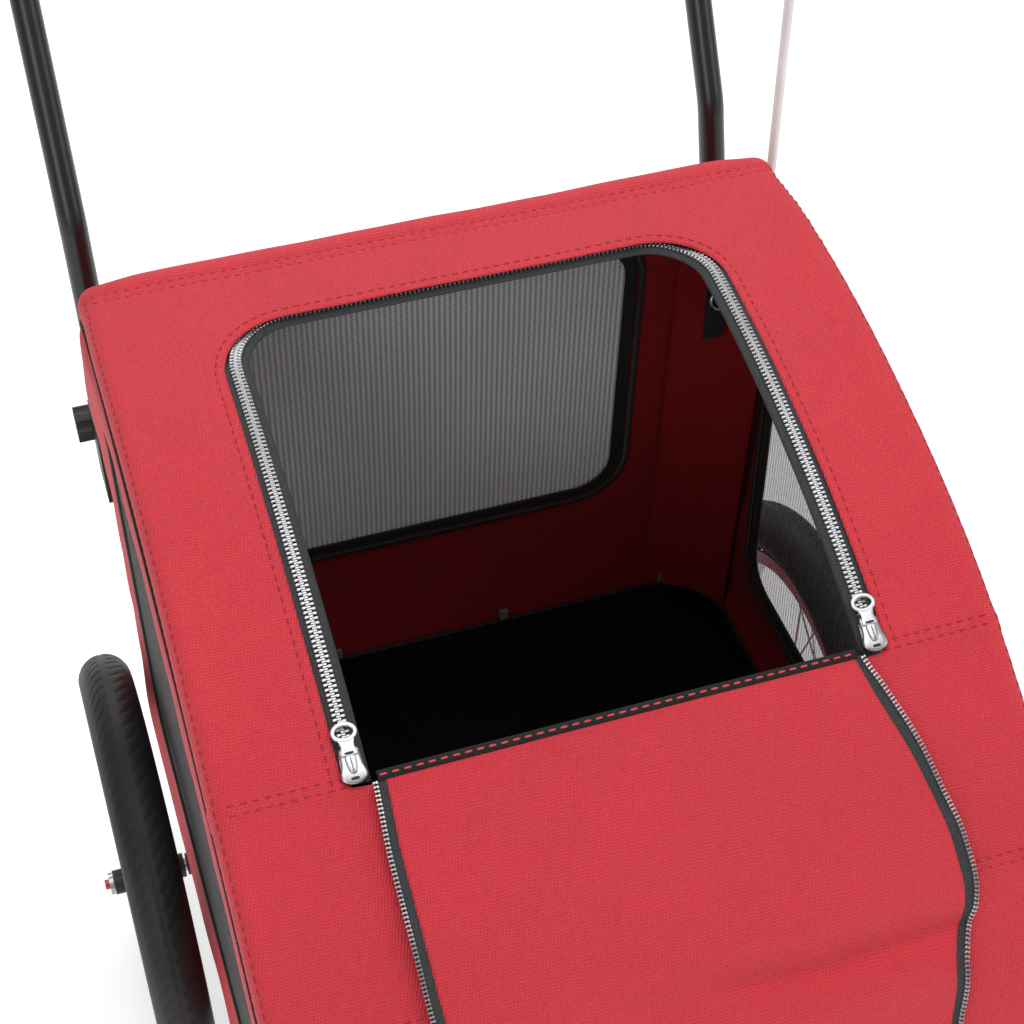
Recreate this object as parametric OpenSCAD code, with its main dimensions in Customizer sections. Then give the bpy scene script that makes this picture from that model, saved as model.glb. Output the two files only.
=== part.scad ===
// Two-wheeled pet bicycle trailer with a front swivel wheel, a push handle and a tow arm.
// +Z is up, -Y is the way the trailer is pulled, and the ground is Z = 0.
// Modules are laid out from the rear top edge of the cabin (Y = 0) and moved by
// y_shift, so that the origin sits under the middle of the whole object.

/* [Cabin] */
// Width of the roof cover
cabin_w = 557; // [460:1:680]
// Height of the roof above the ground
roof_z = 775; // [700:1:900]
// Length of the level stretch of roof behind the curve
roof_flat = 64; // [40:1:120]
// Radius of the curve that sweeps from the roof down the front
roof_r = 760; // [700:1:900]
// How far the rear wall stands out at the floor, behind its top edge
rear_lean = 41; // [0:1:60]
// Thickness of the cover cloth with its lining
cover_t = 2.4; // [1.5:0.1:4]
// Thickness of the window mesh
mesh_t = 0.8; // [0.5:0.1:1.5]
// Width of the binding round each window
binding_w = 12; // [8:1:20]
// Thickness of the binding round each window
binding_t = 2; // [1:0.1:3]

/* [Roof opening] */
// Half of the distance between the two straight runs of the zip
zip_x = 185; // [150:1:200]
// Distance of the zip's cross run from the roof's rear edge
zip_rear = 78; // [60:1:100]
// Radius of the zip's corners
zip_corner = 48; // [30:1:60]
// Width of the zip tape
tape_w = 26; // [18:1:32]
// Thickness of the zip tape
tape_t = 1.2; // [0.8:0.1:2]
// Width of the row of teeth
teeth_w = 10; // [6:1:12]
// Height of the row of teeth
teeth_h = 2.8; // [2:0.1:4]
// Where the opening ends, along the front slope
opening_end = 600; // [560:1:640]
// Angle round the roof curve to the flap's upper edge
flap_top_a = 29.4; // [28:0.1:34]
// Angle round the roof curve to the flap's lower edge
flap_low_a = 51; // [46:0.1:56]
// Half width of the flap at its upper edge
flap_top_x = 174; // [140:1:180]
// Half width of the flap at its widest
flap_wide_x = 194; // [150:1:200]
// Thickness of the flap
flap_t = 3; // [2:0.1:5]

/* [Windows] */
// Half width of the rear window
rear_window_x = 171; // [120:1:200]
// Height of the rear window's lower edge
rear_window_low = 412; // [380:1:460]
// Distance of the rear window's upper edge below the roof
rear_window_drop = 62; // [40:1:100]
// Corner radius of the windows
window_corner = 40; // [15:1:50]
// Distance of a side window from the roof's rear edge
side_window_rear = 57; // [50:1:80]
// Length of a side window
side_window_len = 440; // [350:1:460]
// Height of a side window's lower edge
side_window_low = 342; // [320:1:380]
// Width of the cloth left between a side window and the roof's curve
side_window_edge = 66; // [50:1:90]

/* [Frame] */
// Radius of the frame tubes
tube_r = 10; // [8:0.5:12]
// Bore of the frame tubes
tube_bore = 6.05; // [5.05:0.1:6.05]
// Thickness of the floor board
board_t = 5; // [3:0.5:8]
// Thickness of the floor mat
mat_t = 10; // [6:0.5:16]
// Distance that the rear wheels' axle stands ahead of the roof's rear edge
axle_y = 118; // [100:1:160]

/* [Rear wheels] */
// Radius of a rear wheel over its tyre
wheel_r = 203; // [190:1:220]
// Width of a rear tyre
tyre_w = 47; // [40:1:54]
// Clearance between a rear tyre and the cabin's side
wheel_gap = 14.6; // [12:0.1:40]
// Radius of the wheel's axle pin
axle_r = 6; // [5:0.1:6]
// Number of spokes in a wheel
spoke_n = 20; // [12:4:28]
// Travel of the release button in the axle's end
button_travel = 3; // [2:0.5:4]

/* [Front wheel] */
// Width of the front tyre
caster_w = 28; // [22:1:32]
// Distance that the front wheel trails its swivel
caster_trail = 45; // [30:1:50]
// Distance of the swivel ahead of the front cross tube
caster_reach = 88; // [86:1:120]
// Radius of the swivel stem
stem_r = 8; // [6:0.5:9]

/* [Push handle] */
// Radius of the handle's tube
handle_r = 11; // [9:0.5:12.5]
// Height of the handle's grip above the ground
handle_z = 1030; // [980:1:1100]
// Height of the bend in the handle's legs
bend_z = 770; // [740:1:790]
// Distance of the bend behind the roof's rear edge
bend_y = 92; // [85:1:110]
// Backward lean of the legs below the bend
lower_lean = 14; // [8:0.5:16]
// Backward lean of the legs above the bend
upper_lean = 29; // [20:0.5:35]
// Height of the pivots that the handle folds on
pivot_z = 600; // [560:1:620]
// Radius of the pivot bolts
bolt_r = 4; // [3:0.5:5]
// Length of bare tube between the foam grip and each bend of the handle
grip_bare = 43.2; // [5:0.1:90]
// Thickness of the foam grip
grip_t = 4; // [3:0.5:6]

/* [Tow arm] */
// Distance of the tow arm's pivot in from the left floor rail
tow_inset = 33.2; // [32:0.1:60]
// Distance of the tow arm's pivot ahead of the front cross tube
tow_reach = 62; // [55:1:80]
// Radius of the tow arm's tube
tow_r = 12.5; // [11:0.5:13]
// Length of the tow arm along the trailer
tow_len = 565; // [480:1:680]
// Distance of the tow arm's tip from the centre line
tip_x = 120; // [90:1:160]
// Height of the hitch above the ground
hitch_z = 300; // [280:1:360]
// Radius of the hole that takes the bicycle's axle
hitch_hole_r = 5.25; // [5:0.05:6.5]

/* [Flag] */
// Radius of the flag pole
pole_r = 4; // [3:0.5:5]
// Height of the flag pole's tip above the ground
pole_z = 1400; // [1200:1:1600]
// Length of the pennant
pennant_len = 170; // [100:1:180]

/* [Hidden] */
$fn = 96;
seat_gap = 0.3;      // clearance between pieces that rest on each other
running_gap = 0.05;  // radial clearance of a turning or sliding fit
far = 2000;          // reach of the blocks that cut other shapes
bend_swell = 0.06;   // how much fatter a tube is at a bend
bury = 1.5;          // how far a straight run reaches into a bend

// cabin
half_w = cabin_w / 2;
arc_y = -roof_flat;
arc_z = roof_z - roof_r;
hoop_r = roof_r - cover_t - seat_gap - tube_r;
tube_x = half_w - seat_gap - tube_r;
rail_lift = 3;
rail_z = wheel_r + 2 * tube_r + rail_lift;
rail_top = rail_z + tube_r;
board_z = rail_top + seat_gap;
mat_z = board_z + board_t;
mat_top = mat_z + mat_t;
wall_a = atan(rear_lean / (roof_z - board_z));
front_y = arc_y - sqrt(hoop_r * hoop_r - pow(rail_z - arc_z, 2));
cover_front_a = acos((board_z + 1 - arc_z) / roof_r);
seam_a = asin((435 - roof_flat) / roof_r);  // angle round the curve to the upper seam
middle_tube_a = seam_a + 2;
tube_in = cover_t + seat_gap + tube_r;
mat_corner = ((1 + sqrt(2)) * tube_r + 2) / (sqrt(2) - 1);  // clears the rear uprights
board_front = front_y + tube_r + 4;
window_gap = 0.3;
mesh_inset = 0.8;    // depth of the mesh below the cloth's outer face
loop_w = 8;
loop_h = 9;
loop_places = [-0.366, 0.226, 0.819];  // as shares of half the cabin's width
tether_inset = 32.2;
tether_w = 20;
tether_len = 140;
reflector_r = 21;
reflector_z = 305;
reflector_x = 205;
opening_view = 20;   // how far the zip shows past the opening's front corners

// zip and flap
tape_outer = roof_r - 1;
teeth_low = tape_outer + 0.05;
teeth_top = teeth_low + teeth_h;
flap_in = teeth_top + seat_gap;
flap_out = flap_in + flap_t;
flap_side_y = -550;   // where along the slope the flap is widest
slider_a = 28.6;
slider_len = 17;
slider_wall = 1.6;
slider_low = tape_outer + seat_gap;
slider_top = teeth_top + seat_gap + 1.8;
tab_pin_r = 0.9;
tab_axis_r = slider_top + 2.3;
tab_len = 29.5;
tab_w = 11;

// wheels
tyre_r = tyre_w / 2;
wheel_x = half_w + cover_t + wheel_gap + tyre_r;
rim_r = wheel_r - tyre_w + 2;  // the tyre wraps 2 mm of the rim's edge
hub_half = 32;
flange_x = 21;
flange_r = 23;
hub_r = 11;
rim_depth = 13;
rim_half = 15;
rim_wall = 2.5;
tyre_wall = 4;
spoke_r = 1;
spoke_step = 1.3;    // crossing spokes leave the flange this far from its middle
spoke_lean = 26;
spoke_nipple_x = 3;
axle_out = hub_half + 4;
button_r = 4.5;
button_out = 4;
hub_inner_gap = 2;

// front wheel
caster_r = (wheel_r - 3) / 2;  // the tallest wheel whose swivel goes under the floor
stem_y = front_y - caster_reach;
crown_z = 2 * caster_r + 6;
sleeve_z = crown_z + 10;
sleeve_h = 44;
sleeve_r = 14;
saddle_low = rail_z - tube_r - 4;
saddle_top = rail_z + 2;
fork_gap = 4;
fork_t = 5;

// handle
pivot_y = bend_y - (bend_z - pivot_z) * tan(lower_lean);
handle_x = tube_x;
leg_low = 14;
corner_r = 60;
grip_len = 2 * (handle_x - corner_r - grip_bare);
upper_len = (handle_z - bend_z) / cos(upper_lean);
grip_y = bend_y + upper_len * sin(upper_lean);
grip_r = handle_r + running_gap + grip_t;
cheek_t = 5;
cheek_in = handle_r + 0.5;
cheek_out = cheek_in + cheek_t;
clamp_low = 66;
boss_r = 4;
knob_r = 15;
knob_t = 13;

// tow arm and hitch
tow_x = tube_x - tow_inset;
tow_y = front_y - tow_reach;
tow_z = rail_z - 4;
ear_in = tow_r + 0.5;
ear_t = 5;
tow_bolt_r = 5;
tow_turn_r = 70;
tip_y = tow_y - tow_len;
plug_r = 9;
plug_len = 42;
lug_t = 6;
tongue_t = 6;
lug_gap = 0.4;
hitch_pin_r = 5;
pin_reach = 26;
plate_reach = 52;
plate_t = 5;
plate_r = 15;
plate_x = tip_x - 16;

// flag
pole_x = handle_x + cheek_out + seat_gap + knob_t + 3 + pole_r;  // 3 mm clear of the knob
pole_y = 40;
holder_z = pivot_z - clamp_low + 2;
holder_h = 44;

// overall extent, used to centre the object on the origin
y_rear = grip_y + grip_r;
y_front = tip_y - pin_reach - plate_reach - plate_r;
y_shift = -(y_front + y_rear) / 2;

// how far the rear wall stands behind its top edge at a height
function wall_y(z) = (roof_z - z) * tan(wall_a);

// the point of the YZ plane at a radius and angle round the roof's centre
function arc_point(r, a) = [arc_y - r * sin(a), arc_z + r * cos(a)];

// turns local X to world Y, local Y to world Z, and local Z to world X
module about_x() { rotate([90, 0, 90]) children(); }

// moves children to a point of the YZ plane
module at_yz(y, z, x = 0) { translate([x, y, z]) children(); }

// a rod along X, centred on x
module rod_x(r, len, x, y, z) { translate([x, y, z]) rotate([0, 90, 0]) cylinder(r = r, h = len, center = true); }

// a rod along Y, from y0 to y1
module rod_y(r, x, y0, y1, z) { translate([x, y0, z]) rotate([-90, 0, 0]) cylinder(r = r, h = y1 - y0); }

// a rod between any two points
module rod(p, q, r) {
    d = q - p;
    len = norm(d);
    translate(p) rotate([0, acos(d[2] / len), atan2(d[1], d[0])]) cylinder(r = r, h = len);
}

// a tube bend where a path turns at q from p towards s, round a circle of radius turn_r
module tube_bend(p, q, s, turn_r, r) {
    u = (q - p) / norm(q - p);
    v = (s - q) / norm(s - q);
    a = acos(u * v);
    n = (v - cos(a) * u) / sin(a);
    k = cross(u, n);
    c = q - turn_r * tan(a / 2) * u + turn_r * n;
    multmatrix([
        [-n[0], u[0], k[0], c[0]], [-n[1], u[1], k[1], c[1]], [-n[2], u[2], k[2], c[2]]
    ]) rotate_extrude(angle = a) translate([turn_r, 0]) circle(r = r);
}

// how far a bend of radius turn_r reaches back along the path from its corner q
function bend_reach(p, q, s, turn_r) =
    turn_r * tan(acos((q - p) * (s - q) / (norm(q - p) * norm(s - q))) / 2);

// a tube along a path, its corners bent round circles of radius turn_r; each bend is a
// hair fatter than the straight runs, whose ends are buried in it
module bent_tube(path, turn_r, r) {
    last = len(path) - 1;
    for (i = [0 : last - 1]) {
        p = path[i];
        q = path[i + 1];
        u = (q - p) / norm(q - p);
        cut_p = i == 0 ? 0 : bend_reach(path[i - 1], p, q, turn_r) - bury;
        cut_q = i == last - 1 ? 0 : bend_reach(p, q, path[i + 2], turn_r) - bury;
        rod(p + cut_p * u, q - cut_q * u, r);
        if (i < last - 1) tube_bend(p, q, path[i + 2], turn_r, r + bend_swell);
    }
}

// a band of the roof's curve, centred on x, between two angles and two radii
module arc_band(r_in, r_out, half, a0, a1, x = 0) {
    at_yz(arc_y, arc_z, x) about_x() rotate([0, 0, 90 + a0])
        rotate_extrude(angle = a1 - a0, $fn = 180)
            translate([r_in, -half]) square([r_out - r_in, 2 * half]);
}

// the whole roof skin: the curve down the front and the level stretch behind it
module roof_skin(r_in, r_out, half, a1) {
    arc_band(r_in, r_out, half, 0, a1);
    translate([-half, arc_y, arc_z + r_in]) cube([2 * half, roof_flat, r_out - r_in]);
}

// a rectangle from two corners, its corners rounded
module round_rect(x0, y0, x1, y1, r) {
    translate([x0 + r, y0]) square([x1 - x0 - 2 * r, y1 - y0]);
    translate([x0, y0 + r]) square([x1 - x0, y1 - y0 - 2 * r]);
    for (x = [x0 + r, x1 - r], y = [y0 + r, y1 - r]) translate([x, y]) circle(r = r);
}

// outline of the roof opening seen from above, grown by g from the zip's middle line
module opening_plan(g) {
    round_rect(-zip_x - g, -opening_end - g, zip_x + g, -zip_rear + g, zip_corner + g);
}

// the block that a plan view cuts out of the roof
module plan_block() { translate([0, 0, arc_z]) linear_extrude(height = far) children(); }

// the rear wall's own plane: local X across, local Y up the wall, local Z outwards
module wall_plane() { at_yz(0, roof_z) rotate([90 - wall_a, 0, 180]) children(); }

// distance up the wall from its top edge to a height
function wall_v(z) = (z - roof_z) / cos(wall_a);

/* frame */

module floor_rail(side) {
    color("#202124") difference() {
        rod_y(tube_r, side * tube_x, front_y - tube_r, wall_y(rail_z) - cover_t - seat_gap, rail_z);
        rod_y(tube_bore, side * tube_x, front_y - far, far, rail_z);
    }
}

module cross_tube(y, z) {
    len = 2 * (tube_x - tube_r - seat_gap);
    color("#202124") difference() {
        rod_x(tube_r, len, 0, y, z);
        rod_x(tube_bore, len + 2, 0, y, z);
    }
}

module axle_tube() {
    len = 2 * (wheel_x - hub_half - hub_inner_gap);
    color("#202124") difference() {
        rod_x(tube_r, len, 0, -axle_y, wheel_r);
        rod_x(axle_r + running_gap, len + 2, 0, -axle_y, wheel_r);
    }
}

module axle_saddles() {
    w = 22;
    color("#2b2c2f") for (s = [-1, 1]) difference() {
        translate([s * tube_x - w / 2, -axle_y - 15, wheel_r - 5]) cube([w, 30, rail_z - wheel_r + 5]);
        rod_x(tube_r + running_gap, w + 2, s * tube_x, -axle_y, wheel_r);
        rod_y(tube_r + running_gap, s * tube_x, -axle_y - 20, -axle_y + 20, rail_z);
    }
}

module rear_upright(side) {
    top = arc_z + hoop_r - tube_r - seat_gap;
    low = rail_top + seat_gap;
    color("#202124") intersection() {
        at_yz(-tube_in / cos(wall_a), roof_z, side * tube_x) rotate([wall_a, 0, 0]) difference() {
            translate([0, 0, -far]) cylinder(r = tube_r, h = 2 * far);
            translate([0, 0, -far]) cylinder(r = tube_bore, h = 2 * far);
        }
        translate([side * tube_x - 50, -100, low]) cube([100, 300, top - low]);
    }
}

module side_hoop(side) {
    end_a = acos((rail_top + seat_gap - arc_z) / (hoop_r + tube_r)) + 4;
    color("#202124") difference() {
        union() {
            at_yz(arc_y, arc_z, side * tube_x) about_x() rotate([0, 0, 90])
                rotate_extrude(angle = end_a, $fn = 180) translate([hoop_r, 0]) circle(r = tube_r);
            rod_y(tube_r, side * tube_x, arc_y, -seat_gap - cover_t, arc_z + hoop_r);
        }
        translate([-far / 2, -far, rail_top + seat_gap - 200]) cube([far, far, 200]);
    }
}

module rear_top_tube() {
    cross_tube(-tube_in - 2, arc_z + hoop_r);
}

module middle_top_tube() {
    p = arc_point(hoop_r, middle_tube_a);
    cross_tube(p[0], p[1]);
}

module floor_board() {
    x = tube_x - tube_r - 1;
    rear = wall_y(board_z) - tube_in - tube_r - 2;
    color("#1b1b1d") translate([-x, board_front, board_z]) cube([2 * x, rear - board_front, board_t]);
}

module floor_mat() {
    x = half_w - 0.5;
    rear = wall_y(mat_top) - cover_t - 0.8;
    color("#0c0c0d") {
        translate([0, 0, mat_z]) linear_extrude(height = mat_t)
            round_rect(-x, board_front, x, rear, mat_corner);
        for (p = loop_places)
            translate([p * half_w - loop_w / 2, rear - loop_h, mat_top]) cube([loop_w, 7, loop_h]);
    }
}

/* cover */

module roof_cover() {
    g = tape_w / 2;
    color("#d23f49") difference() {
        roof_skin(roof_r - cover_t, roof_r, half_w, cover_front_a);
        plan_block() opening_plan(g);
    }
}

// outline of a side wall in the YZ plane, from the floor to the roof's curve
module side_outline() {
    intersection() {
        translate([arc_y, arc_z]) circle(r = roof_r, $fn = 180);
        translate([arc_y - far, board_z]) square([far, far]);
    }
    polygon([[arc_y, board_z], [wall_y(board_z), board_z], [0, roof_z], [arc_y, roof_z]]);
}

// outline of a side window, grown by g
module side_window_outline(g) {
    intersection() {
        round_rect(
            -side_window_rear - side_window_len - g, side_window_low - g,
            -side_window_rear + g, roof_z, window_corner + g
        );
        translate([arc_y, arc_z]) circle(r = roof_r - side_window_edge + g, $fn = 180);
    }
}

module side_panel(side) {
    x = side > 0 ? half_w : -half_w - cover_t;
    color("#c93540") translate([x, 0, 0]) about_x() linear_extrude(height = cover_t) difference() {
        side_outline();
        side_window_outline(0);
    }
}

module side_window(side) {
    mesh_x = side > 0 ? half_w + mesh_inset : -half_w - mesh_inset - mesh_t;
    ring_x = side > 0 ? half_w - binding_t : -half_w;
    color("#56585c") {
        translate([mesh_x, 0, 0]) about_x() linear_extrude(height = mesh_t)
            side_window_outline(-window_gap);
        translate([ring_x, 0, 0]) about_x() linear_extrude(height = binding_t) difference() {
            side_window_outline(binding_w / 2);
            side_window_outline(-binding_w / 2);
        }
    }
}

module rear_window_outline(g) {
    round_rect(
        -rear_window_x - g, wall_v(rear_window_low) - g,
        rear_window_x + g, -rear_window_drop + g, window_corner + g
    );
}

module rear_panel() {
    low = wall_v(board_z);
    top = -cover_t - seat_gap;
    color("#c93540") difference() {
        wall_plane() translate([0, 0, -cover_t]) linear_extrude(height = cover_t) difference() {
            translate([-half_w, low]) square([2 * half_w, top - low]);
            rear_window_outline(0);
        }
        for (s = [-1, 1], z = boss_heights())
            rod_y(boss_r + 0.4, s * handle_x, -far, far, z);
    }
}

module rear_window() {
    color("#6f7276") wall_plane() {
        translate([0, 0, -mesh_inset - mesh_t]) linear_extrude(height = mesh_t) rear_window_outline(-window_gap);
        translate([0, 0, -cover_t - binding_t]) linear_extrude(height = binding_t) difference() {
            rear_window_outline(binding_w / 2);
            rear_window_outline(-binding_w / 2);
        }
    }
}

module zip_strip(half, r_in, r_out) {
    color("#2e3033") intersection() {
        roof_skin(r_in, r_out, half_w, flap_low_a);
        plan_block() difference() {
            opening_plan(half);
            opening_plan(-half);
            translate([-far, -far - opening_end + zip_corner + opening_view]) square([2 * far, far]);
        }
    }
}

module zip_tape() { zip_strip(tape_w / 2 - window_gap, tape_outer - tape_t, tape_outer); }

module zip_teeth() { color("#b9bbbd") zip_strip(teeth_w / 2, teeth_low, teeth_top); }

module flap() {
    y0 = arc_point(flap_in, flap_top_a)[0] + 5;
    y1 = arc_point(flap_out, flap_low_a)[0] - 5;
    color("#d23f49") intersection() {
        arc_band(flap_in, flap_out, half_w, flap_top_a, flap_low_a);
        plan_block() polygon([
            [-flap_top_x, y0], [flap_top_x, y0], [flap_wide_x, flap_side_y],
            [flap_top_x, y1], [-flap_top_x, y1], [-flap_wide_x, flap_side_y]
        ]);
    }
}

// a slider straddles the teeth and carries a pin for its pull tab
module zip_slider(side) {
    x = side * zip_x;
    half = teeth_w / 2 + seat_gap + slider_wall;
    len_a = slider_len / roof_r * 180 / PI;
    p = arc_point(tab_axis_r, slider_a);
    color("#c9cbce") {
        difference() {
            arc_band(slider_low, slider_top, half, slider_a - len_a / 2, slider_a + len_a / 2, x);
            arc_band(
                slider_low - 1, teeth_top + seat_gap, teeth_w / 2 + seat_gap,
                slider_a - len_a, slider_a + len_a, x
            );
        }
        for (s = [-1, 1])
            arc_band(slider_top, tab_axis_r, 0.75, slider_a - 0.14, slider_a + 0.14, x + s * 3.75);
        rod_x(tab_pin_r, 9, x, p[0], p[1]);
    }
}

module pull_tab(side) {
    p = arc_point(tab_axis_r, slider_a);
    color("#c9cbce") at_yz(p[0], p[1], side * zip_x) rotate([slider_a, 0, 0]) difference() {
        union() {
            rod_x(1.9, 5.4, 0, 0, 0);
            translate([-2.7, 0, -0.8]) cube([5.4, 5, 1.6]);
            translate([-tab_w / 2, 4, -0.8]) cube([tab_w, tab_len - tab_w / 2 - 4, 1.6]);
            translate([0, tab_len - tab_w / 2, -0.8]) cylinder(r = tab_w / 2, h = 1.6);
        }
        rod_x(tab_pin_r + running_gap, 8, 0, 0, 0);
        translate([0, tab_len - tab_w / 2, -2]) cylinder(r = 3, h = 4);
    }
}

module leash_tether() {
    x = tube_x - tether_inset;
    z1 = arc_z + hoop_r - tube_r - seat_gap;
    z0 = z1 - tether_len;
    y = -tube_in - 2;
    color("#141416") translate([x - tether_w / 2, y - 1, z0]) cube([tether_w, 2, tether_len]);
    color("#c9cbce") at_yz(y, z0 - seat_gap - 9, x) about_x() rotate_extrude() translate([7, 0]) circle(r = 2);
}

module rear_reflectors() {
    color("#b01822") for (s = [-1, 1]) wall_plane()
        translate([s * reflector_x, wall_v(reflector_z), 0]) cylinder(r = reflector_r, h = 7);
}

/* rear wheels */

module on_axle(side) { translate([side * wheel_x, -axle_y, wheel_r]) rotate([0, side * 90, 0]) children(); }

module rear_tyre(side) {
    mid = wheel_r - tyre_r;
    bead = rim_half - rim_wall - seat_gap;
    bead_r = rim_r - rim_depth + rim_wall + seat_gap;
    color("#17181a") on_axle(side) rotate_extrude($fn = 180) difference() {
        union() {
            translate([mid, 0]) circle(r = tyre_r);
            translate([bead_r, -bead]) square([mid - bead_r, 2 * bead]);
        }
        translate([mid, 0]) circle(r = tyre_r - tyre_wall);
    }
}

module rear_rim(side) {
    low = rim_r - rim_depth;
    color("#b4b6b9") on_axle(side) rotate_extrude($fn = 180) difference() {
        translate([low, -rim_half]) square([rim_depth, 2 * rim_half]);
        translate([low + rim_wall, rim_wall - rim_half]) square([rim_depth, 2 * (rim_half - rim_wall)]);
    }
}

module spokes(side) {
    in_r = flange_r + 2 * seat_gap;
    out_r = rim_r - rim_depth - 3 * seat_gap;
    color("#c4c6c8") on_axle(side) for (i = [0 : spoke_n - 1]) {
        s = i % 2 == 0 ? 1 : -1;
        t = floor(i / 2) % 2 == 0 ? 1 : -1;
        a = i * 360 / spoke_n;
        p = [in_r * cos(a), in_r * sin(a), s * (flange_x + t * spoke_step)];
        q = [out_r * cos(a + t * spoke_lean), out_r * sin(a + t * spoke_lean), s * spoke_nipple_x];
        rod(p, q, spoke_r);
    }
}

module rear_hub(side) {
    color("#3a3b3e") on_axle(side) difference() {
        union() {
            cylinder(r = hub_r, h = 2 * hub_half, center = true);
            for (s = [-1, 1]) translate([0, 0, s * flange_x]) cylinder(r = flange_r, h = 5, center = true);
        }
        cylinder(r = axle_r + running_gap, h = 2 * hub_half + 2, center = true);
    }
}

module rear_axle(side) {
    depth = 70;
    color("#a9abae") on_axle(side) difference() {
        union() {
            translate([0, 0, -hub_half - depth]) cylinder(r = axle_r, h = depth + hub_half + axle_out);
            translate([0, 0, hub_half + seat_gap]) cylinder(r = axle_r + 4, h = axle_out - hub_half - seat_gap);
        }
        translate([0, 0, axle_out - 12]) cylinder(r = button_r + running_gap, h = 13);
    }
}

module release_button(side) {
    color("#c22029") on_axle(side) translate([0, 0, axle_out - 12 + button_travel + 0.5])
        cylinder(r = button_r, h = 12 - button_travel - 0.5 + button_out);
}

/* front wheel */

module on_front_axle() { translate([0, stem_y + caster_trail, caster_r]) rotate([0, 90, 0]) children(); }

module front_tyre() {
    r = caster_w / 2;
    color("#17181a") on_front_axle() rotate_extrude($fn = 120) difference() {
        translate([caster_r - r, 0]) circle(r = r);
        translate([0, -r]) square([caster_r - 1.6 * r, 2 * r]);
    }
}

module front_wheel() {
    rim = caster_r - 1.6 * caster_w / 2 - running_gap;
    color("#2a2b2e") on_front_axle() difference() {
        union() {
            rotate_extrude($fn = 120) translate([rim - 7, -9]) square([7, 18]);
            cylinder(r = 12, h = caster_w, center = true);
            for (i = [0 : 4]) rotate([0, 0, 72 * i])
                translate([8, -6, -4]) cube([rim - 11, 12, 8]);
        }
        cylinder(r = bolt_r + running_gap, h = caster_w + 2, center = true);
    }
}

module front_axle() {
    len = caster_w + 2 * (fork_gap + fork_t);
    color("#a9abae") on_front_axle() {
        cylinder(r = bolt_r, h = len + 2, center = true);
        for (s = [-1, 1]) translate([0, 0, s * (len / 2 + 2.3)]) cylinder(r = 7, h = 4, $fn = 6, center = true);
    }
}

module front_fork() {
    x_in = caster_w / 2 + fork_gap;
    x_out = x_in + fork_t;
    axle_z = caster_r;
    color("#2a2b2e") difference() {
        union() {
            for (x = [-x_out, x_in]) translate([x, 0, 0]) about_x() linear_extrude(height = fork_t) {
                polygon([
                    [stem_y - 16, crown_z], [stem_y + 20, crown_z],
                    [stem_y + caster_trail + 11, axle_z], [stem_y + caster_trail - 11, axle_z]
                ]);
                translate([stem_y + caster_trail, axle_z]) circle(r = 13);
            }
            translate([-x_out, stem_y - 18, crown_z]) cube([2 * x_out, 40, 7]);
            translate([0, stem_y, crown_z]) cylinder(r = 13, h = sleeve_z - crown_z - seat_gap);
            translate([0, stem_y, crown_z]) cylinder(r = stem_r, h = sleeve_z - crown_z + sleeve_h + 4);
            translate([0, stem_y, sleeve_z + sleeve_h + seat_gap]) cylinder(r = 12, h = 5);
        }
        rod_x(bolt_r + running_gap, 4 * x_out, 0, stem_y + caster_trail, axle_z);
    }
}

// a block under the front cross tube, hollowed to take the tube's lower half
module tube_saddle(x, w, y_out) {
    difference() {
        translate([x - w / 2, y_out, saddle_low])
            cube([w, front_y + tube_r + 2 - y_out, saddle_top - saddle_low]);
        rod_x(tube_r + running_gap, w + 2, x, front_y, rail_z);
    }
}

module fork_bracket() {
    saddle_y = front_y - tube_r - 4;
    color("#2b2c2f") difference() {
        union() {
            tube_saddle(0, 30, saddle_y);
            translate([-15, stem_y, sleeve_z]) cube([30, saddle_y - stem_y, saddle_top - sleeve_z]);
            translate([0, stem_y, sleeve_z]) cylinder(r = sleeve_r, h = sleeve_h);
        }
        translate([0, stem_y, sleeve_z - 1]) cylinder(r = stem_r + running_gap, h = sleeve_h + 2);
    }
}

/* push handle */

function boss_heights() = [pivot_z - clamp_low + 12, pivot_z - 6];

// moves children to the handle's bend, turned so that +Z runs up the leaning legs
module upper_frame() { at_yz(bend_y, bend_z) rotate([-upper_lean, 0, 0]) children(); }

module handlebar() {
    foot_y = pivot_y - leg_low * sin(lower_lean);
    foot_z = pivot_z - leg_low * cos(lower_lean);
    color("#17181a") difference() {
        bent_tube([
            [-handle_x, foot_y, foot_z], [-handle_x, bend_y, bend_z], [-handle_x, grip_y, handle_z],
            [handle_x, grip_y, handle_z], [handle_x, bend_y, bend_z], [handle_x, foot_y, foot_z]
        ], corner_r, handle_r);
        rod_x(bolt_r + running_gap, cabin_w + 60, 0, pivot_y, pivot_z);
    }
}

module handle_grip() {
    color("#101012") upper_frame() difference() {
        rod_x(grip_r, grip_len, 0, 0, upper_len);
        rod_x(handle_r + running_gap, grip_len + 2, 0, 0, upper_len);
    }
}

module handle_clamps() {
    low = pivot_z - clamp_low;
    y0 = wall_y(low) + 1;
    y1 = pivot_y + 13;
    color("#1e1f22") for (s = [-1, 1]) difference() {
        union() {
            for (x = [-cheek_out, cheek_in]) translate([s * handle_x + x, y0, low]) cube([cheek_t, y1 - y0, clamp_low + 13]);
            translate([s * handle_x - cheek_out, y0, low]) cube([2 * cheek_out, 5, clamp_low + 13]);
            for (z = boss_heights()) {
                seat = wall_y(z) - tube_in + tube_r / cos(wall_a) + seat_gap;
                rod_y(boss_r, s * handle_x, seat, y0 + 3, z);
            }
        }
        rod_x(bolt_r + running_gap, 80, s * handle_x, pivot_y, pivot_z);
    }
}

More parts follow.
